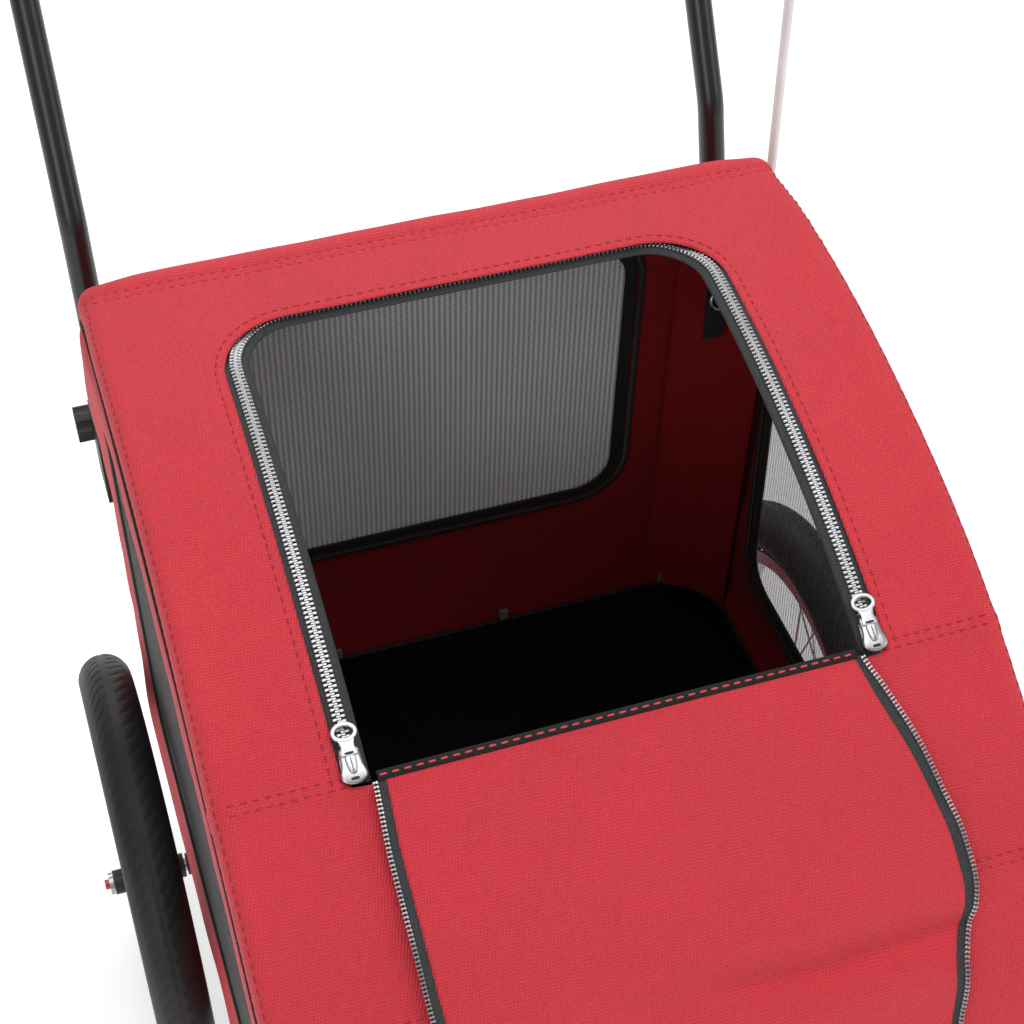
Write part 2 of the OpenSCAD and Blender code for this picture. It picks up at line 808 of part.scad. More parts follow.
// a knob with the bolt that the handle turns on; grips are scalloped round its rim
module clamp_knob(side) {
    color("#17181a") translate([side * handle_x, pivot_y, pivot_z]) rotate([0, side * 90, 0]) {
        translate([0, 0, -cheek_out - 3]) cylinder(r = bolt_r, h = 2 * cheek_out + 5);
        difference() {
            translate([0, 0, cheek_out + seat_gap]) cylinder(r = knob_r, h = knob_t);
            for (i = [0 : 5]) rotate([0, 0, 60 * i])
                translate([knob_r + 3, 0, cheek_out]) cylinder(r = 6, h = knob_t + 2, $fn = 32);
        }
    }
}

/* tow arm */

module tow_bracket() {
    color("#2b2c2f") difference() {
        union() {
            tube_saddle(tow_x, 2 * (ear_in + ear_t), front_y - 32);
            for (x = [-ear_in - ear_t, ear_in]) translate([tow_x + x, tow_y - 15, tow_z - 14])
                cube([ear_t, front_y - tube_r - tow_y + 10, 28]);
        }
        rod_x(tube_r + running_gap, 60, tow_x, front_y, rail_z);
        rod_x(tow_bolt_r + running_gap, 60, tow_x, tow_y, tow_z);
    }
    color("#a9abae") {
        rod_x(tow_bolt_r, 2 * (ear_in + ear_t) + 2, tow_x, tow_y, tow_z);
        for (s = [-1, 1]) rod_x(8, 4, tow_x + s * (ear_in + ear_t + seat_gap + 2), tow_y, tow_z);
    }
}

module tow_arm() {
    // the two bends divide the arm's length in these shares
    first = 0.42;
    second = 0.8;
    color("#202124") difference() {
        bent_tube([
            [tow_x, tow_y + 12, tow_z], [tow_x, tow_y - first * tow_len, (tow_z + hitch_z) / 2],
            [tip_x, tow_y - second * tow_len, hitch_z], [tip_x, tip_y + 6, hitch_z]
        ], tow_turn_r, tow_r);
        rod_x(tow_bolt_r + running_gap, 60, tow_x, tow_y, tow_z);
        rod_y(plug_r + running_gap, tip_x, tip_y - 1, tip_y + 6 + plug_len + 4, hitch_z);
    }
}

// a plug that turns in the tow arm, ending in a fork for the hitch plate
module coupler() {
    z_in = tongue_t / 2 + lug_gap;
    color("#2a2b2e") translate([tip_x, tip_y, hitch_z]) difference() {
        union() {
            rod_y(plug_r, 0, -3, plug_len, 0);
            rod_y(13, 0, -6, 6 - seat_gap, 0);
            for (z = [-z_in - lug_t, z_in]) {
                translate([-14, -pin_reach, z]) cube([28, pin_reach - 2, lug_t]);
                translate([0, -pin_reach, z]) cylinder(r = 14, h = lug_t);
            }
        }
        translate([0, -pin_reach, -40]) cylinder(r = hitch_pin_r + running_gap, h = 80);
    }
}

module hitch_plate() {
    eye_y = -pin_reach - plate_reach;
    color("#a9abae") translate([tip_x, tip_y, hitch_z]) difference() {
        union() {
            translate([0, -pin_reach, 0]) cylinder(r = 12, h = tongue_t, center = true);
            translate([-12, -pin_reach - 26, -tongue_t / 2]) cube([24, 26, tongue_t]);
            translate([plate_x - tip_x, -pin_reach - 26 - 12, -tongue_t / 2]) cube([28, 12.5, tongue_t]);
            translate([plate_x - tip_x, eye_y, -plate_r]) cube([plate_t, plate_reach - 26, 2 * plate_r]);
            rod_x(plate_r, plate_t, plate_x - tip_x + plate_t / 2, eye_y, 0);
        }
        translate([0, -pin_reach, 0]) cylinder(r = hitch_pin_r + running_gap, h = 40, center = true);
        rod_x(hitch_hole_r, 40, plate_x - tip_x, eye_y, 0);
    }
}

module hitch_pin() {
    half = tongue_t / 2 + lug_gap + lug_t;
    color("#c4c6c8") translate([tip_x, tip_y - pin_reach, hitch_z]) {
        translate([0, 0, -half - 8]) cylinder(r = hitch_pin_r, h = 2 * half + 10);
        translate([0, 0, half + seat_gap]) cylinder(r = 9, h = 3);
        translate([0, 0, half + 12]) rotate([90, 0, 0]) rotate_extrude() translate([8, 0]) circle(r = 1.8);
    }
}

/* flag */

module flag_holder() {
    reach = pole_x - handle_x - cheek_out - seat_gap;
    color("#1e1f22") difference() {
        union() {
            translate([pole_x, pole_y, holder_z]) cylinder(r = pole_r + 3, h = holder_h);
            translate([pole_x - reach, pole_y - 6, holder_z]) cube([reach, 12, 20]);
        }
        translate([pole_x, pole_y, holder_z + 4]) cylinder(r = pole_r + running_gap, h = holder_h);
    }
}

module flag_pole() {
    low = holder_z + 4 + seat_gap;
    color("#f2f2f0") translate([pole_x, pole_y, low]) cylinder(r = pole_r, h = pole_z - low);
}

module pennant() {
    top = pole_z - 12;
    drop = 150;
    root = pole_y + pole_r + seat_gap;
    color("#e2571c") translate([pole_x - 0.5, 0, 0]) about_x() linear_extrude(height = 1)
        polygon([[root, top], [root, top - drop], [root + pennant_len, top - drop / 2]]);
}

module placed() { translate([0, y_shift, 0]) children(); }

placed() floor_rail(1);  // left_floor_rail
placed() floor_rail(-1);  // right_floor_rail
placed() cross_tube(front_y, rail_z);  // front_cross_tube
placed() cross_tube(-tube_r, rail_z);  // rear_cross_tube
placed() axle_tube();
placed() axle_saddles();
placed() rear_upright(1);  // left_rear_upright
placed() rear_upright(-1);  // right_rear_upright
placed() side_hoop(1);  // left_side_hoop
placed() side_hoop(-1);  // right_side_hoop
placed() rear_top_tube();
placed() middle_top_tube();
placed() floor_board();
placed() floor_mat();
placed() roof_cover();
placed() side_panel(1);  // left_side_panel
placed() side_panel(-1);  // right_side_panel
placed() rear_panel();
placed() rear_window();
placed() side_window(1);  // left_window
placed() side_window(-1);  // right_window
placed() zip_tape();
placed() zip_teeth();
placed() flap();
placed() zip_slider(1);  // left_zip_slider
placed() zip_slider(-1);  // right_zip_slider
placed() pull_tab(1);  // left_pull_tab
placed() pull_tab(-1);  // right_pull_tab
placed() leash_tether();
placed() rear_reflectors();
placed() rear_tyre(1);  // left_tyre
placed() rear_rim(1);  // left_rim
placed() spokes(1);  // left_spokes
placed() rear_hub(1);  // left_hub
placed() rear_axle(1);  // left_axle
placed() release_button(1);  // left_release_button
placed() rear_tyre(-1);  // right_tyre
placed() rear_rim(-1);  // right_rim
placed() spokes(-1);  // right_spokes
placed() rear_hub(-1);  // right_hub
placed() rear_axle(-1);  // right_axle
placed() release_button(-1);  // right_release_button
placed() front_tyre();
placed() front_wheel();
placed() front_axle();
placed() front_fork();
placed() fork_bracket();
placed() handlebar();
placed() handle_grip();
placed() handle_clamps();
placed() clamp_knob(1);  // left_clamp_knob
placed() clamp_knob(-1);  // right_clamp_knob
placed() tow_bracket();
placed() tow_arm();
placed() coupler();
placed() hitch_plate();
placed() hitch_pin();
placed() flag_holder();
placed() flag_pole();
placed() pennant();
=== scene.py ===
"""The looks of a pet bicycle trailer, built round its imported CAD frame.

Lengths are in metres. +Z is up and -Y is the way the trailer is pulled. Places on the roof
are given as (u, s): u is measured across the cloth from its middle line, and s along it
from the rear edge, over the level stretch and down the front curve.
"""
import math

import bmesh
import bpy
import numpy as np
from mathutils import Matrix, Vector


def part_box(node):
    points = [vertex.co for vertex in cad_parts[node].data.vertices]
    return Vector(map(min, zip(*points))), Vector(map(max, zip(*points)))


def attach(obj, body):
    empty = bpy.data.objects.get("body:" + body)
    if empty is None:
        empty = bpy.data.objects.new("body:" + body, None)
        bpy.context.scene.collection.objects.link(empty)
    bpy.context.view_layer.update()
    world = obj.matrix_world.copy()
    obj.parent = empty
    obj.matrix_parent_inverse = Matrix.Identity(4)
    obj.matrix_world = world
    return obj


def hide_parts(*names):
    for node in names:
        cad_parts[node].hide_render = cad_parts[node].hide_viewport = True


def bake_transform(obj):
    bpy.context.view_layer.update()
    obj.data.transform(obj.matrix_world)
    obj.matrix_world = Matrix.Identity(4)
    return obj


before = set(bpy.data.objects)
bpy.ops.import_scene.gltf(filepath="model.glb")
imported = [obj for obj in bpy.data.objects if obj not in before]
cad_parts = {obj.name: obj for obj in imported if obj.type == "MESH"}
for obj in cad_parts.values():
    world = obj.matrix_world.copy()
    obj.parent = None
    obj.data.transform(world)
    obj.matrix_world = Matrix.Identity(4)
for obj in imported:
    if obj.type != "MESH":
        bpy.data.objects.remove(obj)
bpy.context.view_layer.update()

MM = 0.001
PI = math.pi

roof_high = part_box("roof_cover")[1]
REAR_Y, ROOF_Z, HALF = roof_high.y, roof_high.z, roof_high.x
FLAT = 64 * MM                      # level stretch of the roof
BEND_R = 760 * MM                   # radius of the curve in front of it
BEND_Y, BEND_Z = REAR_Y - FLAT, ROOF_Z - BEND_R
FLOOR_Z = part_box("floor_board")[0].z
MAT_LOW, MAT_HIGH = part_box("floor_mat")
# the rear wall's backward lean, as a slope
LEAN = (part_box("rear_panel")[1].y - REAR_Y) / (ROOF_Z - FLOOR_Z)
EDGE = 12 * MM                      # radius of the cloth where it folds over the tubes
SIDE_DROP = 22 * MM                 # how far the roof piece hangs down each side
RIM = 1.2 * MM                      # thickness of the cloth
PROUD = 1.5 * MM                    # the cloth lies this far outside the CAD's skin, clear of the tubes
ZIP_X = 185 * MM
ZIP_REAR = 78 * MM
ZIP_CORNER = 48 * MM
ZIP_END = 676 * MM                  # end of the opening along the roof, under the flap
S_FRONT = FLAT + BEND_R * math.radians(73)


def along(y_ahead):
    """Distance along the roof of a point that lies y_ahead in front of the rear edge."""
    return FLAT + BEND_R * math.asin((y_ahead - FLAT) / BEND_R)


# ---------------------------------------------------------------- mesh tools

def grid_faces(rows, cols, wrap_rows=False, wrap_cols=False):
    """Quads over a grid of points, each turned so that row step x column step points out."""
    i, j = np.meshgrid(np.arange(rows - (not wrap_rows)), np.arange(cols - (not wrap_cols)),
                       indexing="ij")
    i2, j2 = (i + 1) % rows, (j + 1) % cols
    return np.stack([i * cols + j, i2 * cols + j, i2 * cols + j2, i * cols + j2], -1).reshape(-1, 4)


def build(name, points, faces, body, mats, uv=None, index=None, smooth=True, slot=None,
          replaces=(), merge=False):
    """Makes a mesh object of quads or triangles, gives it its finishes and sets it on its body."""
    points = np.asarray(points, float).reshape(-1, 3)
    faces = np.asarray(faces)
    corners = faces.shape[1]
    mesh = bpy.data.meshes.new(name)
    mesh.vertices.add(len(points))
    mesh.vertices.foreach_set("co", points.astype(np.float32).ravel())
    mesh.loops.add(faces.size)
    mesh.loops.foreach_set("vertex_index", faces.astype(np.int32).ravel())
    mesh.polygons.add(len(faces))
    mesh.polygons.foreach_set("loop_start", np.arange(0, faces.size, corners, dtype=np.int32))
    if index is not None:
        mesh.polygons.foreach_set("material_index", np.asarray(index, np.int32))
    mesh.polygons.foreach_set("use_smooth", np.full(len(faces), smooth))
    if uv is not None:
        layer = mesh.uv_layers.new(name="UVMap")
        layer.data.foreach_set("uv", np.asarray(uv, np.float32).reshape(-1, 2)[faces.ravel()].ravel())
    mesh.update(calc_edges=True)
    if merge:
        tool = bmesh.new()
        tool.from_mesh(mesh)
        bmesh.ops.remove_doubles(tool, verts=tool.verts, dist=2e-6)
        bmesh.ops.dissolve_degenerate(tool, edges=tool.edges, dist=1e-6)
        tool.to_mesh(mesh)
        tool.free()
    mesh.validate()
    piece = bpy.data.objects.new(name, mesh)
    bpy.context.scene.collection.objects.link(piece)
    for m in (mats if isinstance(mats, (list, tuple)) else [mats]):
        mesh.materials.append(m)
    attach(piece, body) if body else None
    if replaces:
        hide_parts(*replaces)
    return piece


def closed(faces, count):
    """A sheet's faces, the same turned over for its back, and quads along each free edge."""
    a, b = faces.ravel().astype(np.int64), np.roll(faces, -1, 1).ravel().astype(np.int64)
    key = np.minimum(a, b) * (2 * count) + np.maximum(a, b)
    _, first, times = np.unique(key, return_index=True, return_counts=True)
    free = first[times == 1]
    rim = np.stack([b[free], a[free], a[free] + count, b[free] + count], 1)
    return np.concatenate([faces, faces[:, ::-1] + count, rim]), len(faces), len(rim)


def grid_normals(p, wrap=False):
    """Unit normals of a grid of points: the cross product of its two differences."""
    rows = (np.roll(p, -1, 0) - np.roll(p, 1, 0)) if wrap else np.gradient(p, axis=0)
    n = np.cross(rows, np.gradient(p, axis=1))
    return n / np.maximum(np.linalg.norm(n, axis=-1, keepdims=True), 1e-12)


def sheet_piece(name, p, thick, body, mats, uv, wrap=False, **more):
    """A closed cloth: the grid p, a copy of it set in by thick along the normals, and a rim."""
    back = p - thick * grid_normals(p, wrap)
    count = p.shape[0] * p.shape[1]
    faces, fronts, rims = closed(grid_faces(p.shape[0], p.shape[1], wrap), count)
    index = None
    if isinstance(mats, (list, tuple)) and len(mats) > 1:
        index = np.concatenate([np.zeros(fronts), np.ones(fronts), np.zeros(rims)])
    uv = np.concatenate([np.asarray(uv).reshape(-1, 2)] * 2)
    points = np.concatenate([p.reshape(-1, 3), back.reshape(-1, 3)])
    return build(name, points, faces, body, mats, uv=uv, index=index, **more)


LEAST = 10.001 * MM                 # the shortest side that a declared sheet may have


def declare(p):
    """Works out the flat sizes of a cut strip or sheet, the mean lengths of its grid's rows and columns, each no
    less than LEAST; nothing is done with them. No less than the 10 mm that a sheet may be."""
    across = np.linalg.norm(np.diff(p, axis=1), axis=-1).sum(1).mean()
    length = np.linalg.norm(np.diff(p, axis=0), axis=-1).sum(0).mean()
    across, length = max(float(across), LEAST), max(float(length), LEAST)


def resample(line, count, ends=True):
    """count points spaced evenly along a polyline."""
    line = np.asarray(line, float)
    reach = np.concatenate([[0], np.cumsum(np.linalg.norm(np.diff(line, axis=0), axis=1))])
    t = np.linspace(0, reach[-1], count + (not ends))[:count]
    return np.stack([np.interp(t, reach, line[:, k]) for k in range(line.shape[1])], -1)


def spaced(line, pitch, start=0.5):
    """Points along a polyline every pitch, the first one start pitches in."""
    line = np.asarray(line, float)
    reach = np.concatenate([[0], np.cumsum(np.linalg.norm(np.diff(line, axis=0), axis=1))])
    t = np.arange(start * pitch, reach[-1], pitch)
    return np.stack([np.interp(t, reach, line[:, k]) for k in range(line.shape[1])], -1)


def swept(path, profile, side, closed_path=False, ends=True):
    """A profile of (across, up) offsets carried along a path. The first direction is at right
    angles to the path in the plane that holds side, and the second to both."""
    path = np.asarray(path, float)
    if closed_path:
        t = np.roll(path, -1, 0) - np.roll(path, 1, 0)
    else:
        t = np.gradient(path, axis=0)
    t /= np.linalg.norm(t, axis=1, keepdims=True)
    side = np.broadcast_to(np.asarray(side, float), path.shape)
    up = np.cross(side, t)
    up /= np.linalg.norm(up, axis=1, keepdims=True)
    across = np.cross(t, up)
    profile = np.asarray(profile, float)
    if profile.ndim == 2:
        profile = np.broadcast_to(profile, (len(path),) + profile.shape)
    p = path[:, None] + profile[..., :1] * across[:, None] + profile[..., 1:2] * up[:, None]
    if ends and not closed_path:
        p = np.concatenate([p[:1].mean(1, keepdims=True).repeat(p.shape[1], 1), p,
                            p[-1:].mean(1, keepdims=True).repeat(p.shape[1], 1)])
    return p


def sweep_piece(name, path, profile, side, body, mat, closed_path=False, **more):
    """A solid strip, rod or rim: swept points joined into a closed skin."""
    p = swept(path, profile, side, closed_path)
    faces = grid_faces(p.shape[0], p.shape[1], closed_path, True)
    return build(name, p, faces[:, ::-1], body, mat, uv=grid_uv(p), merge=True, **more)


def circle(radius, count=12, squash=1.0):
    """Points of a circle, or of an ellipse squashed in its second direction."""
    a = np.arange(count) / count * 2 * PI
    return np.stack([radius * np.cos(a), radius * squash * np.sin(a)], -1)


def strap_profile(width, thick, count=4):
    """The cross-section of a flat strap, its edges rounded."""
    a = np.linspace(-PI / 2, PI / 2, count)
    end = np.stack([width / 2 - thick / 2 + thick / 2 * np.cos(a), thick / 2 * np.sin(a)], -1)
    mid = np.linspace(width / 2 - thick / 2, -width / 2 + thick / 2, 6)[1:-1]
    top = np.stack([mid, np.full(4, thick / 2)], -1)
    return np.concatenate([end, top, -end, -top])


def grid_uv(p):
    """Distances along the two ways of a grid, in metres, as its texture place."""
    du = np.linalg.norm(np.diff(p, axis=0), axis=-1).mean(1)
    dv = np.linalg.norm(np.diff(p, axis=1), axis=-1).mean(0)
    u, v = np.concatenate([[0], np.cumsum(du)]), np.concatenate([[0], np.cumsum(dv)])
    return np.stack(np.meshgrid(u, v, indexing="ij"), -1)


def turned(profile, count, centre, axis):
    """A profile of (radius, offset) points turned round an axle through centre."""
    profile = np.asarray(profile, float)
    a = np.arange(count) / count * 2 * PI
    radius, offset = profile[..., 0], profile[..., 1]
    if profile.ndim == 2:
        radius, offset = radius[None].repeat(count, 0), offset[None].repeat(count, 0)
    flat = [radius * np.cos(a)[:, None], radius * np.sin(a)[:, None]]
    p = np.stack(flat[:axis] + [offset] + flat[axis:], -1)
    return p + np.asarray(centre, float)


def outward(piece):
    """Turns every face of a closed mesh outwards."""
    tool = bmesh.new()
    tool.from_mesh(piece.data)
    bmesh.ops.recalc_face_normals(tool, faces=tool.faces)
    tool.to_mesh(piece.data)
    tool.free()


def repeat_shape(shape, faces, places, x, y, z):
    """One small shape set at many places, each with its own three directions."""
    p = (places[:, None] + shape[None, :, :1] * x[:, None] + shape[None, :, 1:2] * y[:, None]
         + shape[None, :, 2:] * z[:, None])
    step = np.arange(len(places))[:, None, None] * len(shape)
    return p.reshape(-1, 3), (np.asarray(faces)[None] + step).reshape(-1, len(faces[0]))


def thread(length, radius, sides=6):
    """One stitch: a rod that rises out of the cloth, runs level and dips back into it."""
    y = np.array([-0.5, -0.46, -0.3, 0, 0.3, 0.46, 0.5]) * length
    rise = np.array([-1.0, -0.3, 0.15, 0.3, 0.15, -0.3, -1.0]) * radius
    size = np.array([0.25, 0.8, 1, 1, 1, 0.8, 0.25]) * radius
    c = circle(1, sides)
    p = np.stack([size[:, None] * c[:, 0], np.repeat(y[:, None], sides, 1),
                  rise[:, None] + size[:, None] * c[:, 1]], -1)
    return p.reshape(-1, 3), grid_faces(len(y), sides, False, True)[:, ::-1]


def lumps(p, scale, seed):
    """Smooth unevenness between -1 and 1: four sine waves that run different ways."""
    r = np.random.default_rng(seed)
    out = 0
    for _ in range(4):
        way = r.normal(size=p.shape[-1])
        way /= np.linalg.norm(way)
        out = out + np.sin((p @ way) * 2 * PI / (scale * r.uniform(0.7, 1.5)) + r.uniform(0, 6))
    return out / 4


# ---------------------------------------------------------------- finishes

class Finish:
    """A material under construction: short ways to add nodes and to join them."""

    def __init__(self, name, color, rough, metal=0.0, **sockets):
        self.mat = bpy.data.materials.new(name)
        self.mat.use_nodes = True
        self.nodes, self.links = self.mat.node_tree.nodes, self.mat.node_tree.links
        self.shader = self.nodes["Principled BSDF"]
        self.shader.inputs["Base Color"].default_value = (*color, 1)
        self.shader.inputs["Roughness"].default_value = rough
        self.shader.inputs["Metallic"].default_value = metal
        for socket, value in sockets.items():
            self.shader.inputs[socket.replace("_", " ")].default_value = value
        self.color, self.rough = color, rough
        self.place = self.nodes.new("ShaderNodeTexCoord")

    def add(self, kind, *inputs, **settings):
        """A node with its settings, and its inputs in order, as numbers or as other sockets."""
        node = self.nodes.new("ShaderNode" + kind)
        for key, value in settings.items():
            if key in node.bl_rna.properties.keys():
                setattr(node, key, value)
            else:
                node.inputs[key.replace("_", " ")].default_value = value
        for k, value in enumerate(inputs):
            if value is None:
                continue
            if isinstance(value, bpy.types.NodeSocket):
                self.links.new(value, node.inputs[k])
            else:
                node.inputs[k].default_value = value
        return node

    def math(self, operation, *inputs):
        return self.add("Math", *inputs, operation=operation).outputs[0]

    def mapped(self, scale, space="UV", turn=(0, 0, 0)):
        """The place on the piece, scaled and turned."""
        node = self.add("Mapping", self.place.outputs[space])
        node.inputs["Scale"].default_value = scale
        node.inputs["Rotation"].default_value = turn
        return node.outputs[0]

    def noise(self, scale, detail=3, space="Object", rough=0.5):
        node = self.add("TexNoise", self.place.outputs[space], Scale=scale, Detail=detail,
                        Roughness=rough)
        return node.outputs["Fac"]

    def ramp(self, value, stops):
        node = self.add("ValToRGB", value)
        marks = node.color_ramp.elements
        while len(marks) < len(stops):
            marks.new(0.5)
        for mark, (at, color) in zip(marks, stops):
            mark.position, mark.color = at, (*color, 1)
        return node.outputs["Color"]

    def scaled(self, value, low, high):
        """A 0 to 1 value moved to low to high."""
        node = self.add("MapRange", value)
        node.inputs["To Min"].default_value, node.inputs["To Max"].default_value = low, high
        return node.outputs[0]

    def tint(self, value, dark=0.85, light=1.12):
        """The base colour, darker and lighter with value."""
        stops = [(0.25, [c * dark for c in self.color]), (0.75, [c * light for c in self.color])]
        self.links.new(self.ramp(value, stops), self.shader.inputs["Base Color"])

    def roughen(self, value, spread=0.1):
        low, high = self.rough - spread, self.rough + spread
        self.links.new(self.scaled(value, max(low, 0.02), min(high, 1)),
                       self.shader.inputs["Roughness"])

    def bump(self, height, distance, strength=1.0, after=None):
        node = self.add("Bump", Strength=strength, Distance=distance)
        self.links.new(height, node.inputs["Height"])
        if after:
            self.links.new(after, node.inputs["Normal"])
        self.links.new(node.outputs[0], self.shader.inputs["Normal"])
        return node.outputs[0]

    def waves(self, pitch_u, pitch_v, turn=0.0, wobble=0.0):
        """Two sets of sine waves across the piece's own map, each from -1 to 1."""
        place = self.mapped((1, 1, 1), "UV", (0, 0, turn))
        if wobble:
            cloud = self.add("TexNoise", self.place.outputs["UV"], Scale=90, Detail=2)
            shift = self.add("VectorMath", cloud.outputs["Color"], (wobble,) * 3,
                             operation="MULTIPLY").outputs[0]
            place = self.add("VectorMath", place, shift, operation="ADD").outputs[0]
        parts = self.add("SeparateXYZ", place).outputs
        return [self.math("SINE", self.math("MULTIPLY", parts[k], 2 * PI / pitch))
                for k, pitch in ((0, pitch_u), (1, pitch_v))]


def woven_cloth(name, color, rough=0.62, pitch=2.6, depth=0.48, sheen=0.08, dark=0.80, light=1.14):
    """Coated cloth of thick yarns: bumps in a chequer of two crossing waves, uneven like cloth."""
    f = Finish(name, color, rough, Sheen_Weight=sheen, Specular_IOR_Level=0.28)
    a, b = f.waves(pitch * MM * 1.35, pitch * MM, turn=0.62, wobble=0.0028)
    yarn = f.math("MULTIPLY", a, b)
    fine = f.math("MULTIPLY_ADD", f.noise(330, 2), 1.6, f.noise(900, 2))
    height = f.math("MULTIPLY_ADD", fine, 0.7, yarn)
    first = f.bump(height, depth * MM, 0.85)
    f.bump(f.noise(26, 3), 1.6 * MM, 0.35, after=first)
    soft = f.scaled(f.noise(9, 4, rough=0.62), 0.36, 0.64)
    cloud = f.math("MULTIPLY_ADD", f.math("MULTIPLY_ADD", f.noise(330, 2), 0.9, yarn), 0.24,
                   f.math("SUBTRACT", soft, 0.11))
    f.tint(cloud, dark, light)
    f.roughen(f.noise(300, 2), 0.08)
    return f.mat


RED = (0.71, 0.040, 0.058)
red_cloth = woven_cloth("red coated cloth", RED)
# The lining is the inner face of the same red cloth; its much darker red is painted shade for the closed cabin,
# not a darker dye.
lining = woven_cloth("red lining with painted shade", (0.25, 0.0025, 0.006), rough=0.85, depth=0.25, sheen=0.02)


def plain_thread(name, color, rough=0.55):
    """Twisted sewing thread."""
    f = Finish(name, color, rough)
    f.tint(f.noise(2500, 1), 0.75, 1.15)
    return f.mat


dark_thread = plain_thread("dark red thread", (0.36, 0.010, 0.018))
bright_thread = plain_thread("bright red thread", (0.70, 0.06, 0.075))
black_thread = plain_thread("black thread", (0.012, 0.012, 0.013))


def window_net(name, low, high, cover_low, cover_high):
    """Knitted window net: close upright ribs, fine cross yarns and small holes between them."""
    f = Finish(name, (0.15, 0.145, 0.15), 0.7, Sheen_Weight=0.02, Specular_IOR_Level=0.3)
    rib, cross = f.waves(4.6 * MM, 1.9 * MM)
    yarns = f.math("MULTIPLY_ADD", cross, 0.75, f.math("MULTIPLY", rib, 0.55))
    shade = f.scaled(yarns, 0.0, 1.0)
    shade.node.inputs["From Min"].default_value, shade.node.inputs["From Max"].default_value = -1.3, 1.3
    color = f.ramp(shade, [(0.22, (low, low * 0.95, low * 0.97)), (0.82, (high, high * 0.96, high * 0.98))])
    f.links.new(color, f.shader.inputs["Base Color"])
    cover = f.scaled(shade, cover_low, cover_high)
    f.links.new(cover, f.shader.inputs["Alpha"])
    f.bump(yarns, 0.25 * MM, 0.5)
    return f.mat


# Two copies of one net. The rear copy is nearly opaque with yarns up to white: painted light for the pale backdrop
# seen through its holes. The side copy is darker and clearer: painted shade from the dark cabin behind it.
rear_net = window_net("rear window net", 0.10, 1.0, 0.80, 1.0)
shaded_side_net = window_net("side window net", 0.03, 0.20, 0.20, 0.74)


def webbing(name, color, pitch=1.4, rough=0.7, light=1.3):
    """Woven tape: fine ribs across it, with a speckle of lighter yarn."""
    f = Finish(name, color, rough, Sheen_Weight=0.04, Specular_IOR_Level=0.35)
    a, b = f.waves(pitch * MM, pitch * MM * 1.6, turn=0.5)
    yarn = f.math("MULTIPLY", a, b)
    f.bump(yarn, 0.22 * MM, 0.7)
    f.tint(f.math("MULTIPLY_ADD", yarn, 0.3, f.noise(700, 3)), 0.6, light)
    return f.mat


tape = webbing("zip tape", (0.034, 0.036, 0.038), light=1.7)
binding = webbing("black binding", (0.006, 0.006, 0.0065), 1.8)
strap = webbing("black strap", (0.008, 0.008, 0.009), 2.4)
loop_tape = webbing("grey webbing", (0.11, 0.11, 0.112), 1.6)


def coil_finish():
    """A nylon coil zip: close ridges across it."""
    f = Finish("coil zip", (0.02, 0.02, 0.022), 0.4)
    a, _ = f.waves(2.0 * MM, 50 * MM)
    f.bump(a, 0.5 * MM, 1.0)
    f.tint(f.scaled(a, 0.2, 0.8), 0.4, 3.0)
    return f.mat


coil = coil_finish()


def metal(name, color, rough, grain=60.0, bump=0.02, spread=0.08, aniso=0.0):
    """Metal with a fine uneven surface and slightly cloudy gloss."""
    f = Finish(name, color, rough, 1.0, Anisotropic=aniso)
    f.bump(f.noise(grain * 12, 3), bump * MM, 0.5)
    f.roughen(f.noise(grain, 4), spread)
    f.tint(f.noise(grain / 2, 3), 0.94, 1.03)
    return f.mat


zip_metal = metal("zip metal", (0.50, 0.50, 0.51), 0.36)
slider_metal = metal("polished slider", (0.52, 0.52, 0.53), 0.30)
steel = metal("zinc-plated steel", (0.56, 0.56, 0.57), 0.32, 30)
spoke_steel = metal("spoke steel", (0.70, 0.70, 0.71), 0.26, 80)
rim_metal = metal("satin aluminium", (0.66, 0.66, 0.68), 0.34, 40)


def coated(name, color, rough=0.38, coat=0.35, grain=420.0):
    """Powder coat: a fine orange-peel under a thin gloss."""
    f = Finish(name, color, rough, Coat_Weight=coat, Coat_Roughness=0.22)
    f.bump(f.noise(grain, 3), 0.10 * MM, 0.5)
    f.roughen(f.noise(25, 3), 0.06)
    f.tint(f.noise(12, 3), 0.85, 1.2)
    return f.mat


black_coat = coated("black powder coat", (0.004, 0.004, 0.0045), 0.34, 0.25)
grey_coat = coated("dark grey powder coat", (0.028, 0.028, 0.031), 0.45, 0.2)


def plastic(name, color, rough=0.5, grain=1100.0, depth=0.05, coat=0.0):
    """Moulded plastic with a fine spark-eroded grain."""
    f = Finish(name, color, rough, Coat_Weight=coat)
    f.bump(f.noise(grain, 2), depth * MM, 0.6)
    f.roughen(f.noise(40, 3), 0.06)
    f.tint(f.noise(20, 3), 0.88, 1.15)
    return f.mat


black_plastic = plastic("black plastic", (0.013, 0.013, 0.014))
hub_plastic = plastic("hub black", (0.022, 0.022, 0.024), 0.38)
pole_finish = plastic("white glass-fibre rod", (0.82, 0.82, 0.81), 0.3, 500, 0.03, 0.3)
button_red = plastic("red button", (0.5, 0.012, 0.02), 0.25, 300, 0.02, 0.5)
foam = plastic("foam grip", (0.010, 0.010, 0.011), 0.9, 1600, 0.35)


def reflector_finish():
    """A red reflector: six-sided prisms that glint under a smooth face."""
    f = Finish("red reflector", (0.62, 0.010, 0.016), 0.12, Coat_Weight=0.6)
    cells = f.add("TexVoronoi", f.mapped((1, 1, 1), "Object"), Scale=420, feature="F1")
    f.bump(cells.outputs["Distance"], 0.8 * MM, 0.8)
    f.tint(cells.outputs["Distance"], 0.45, 1.5)
    return f.mat


reflector_red = reflector_finish()


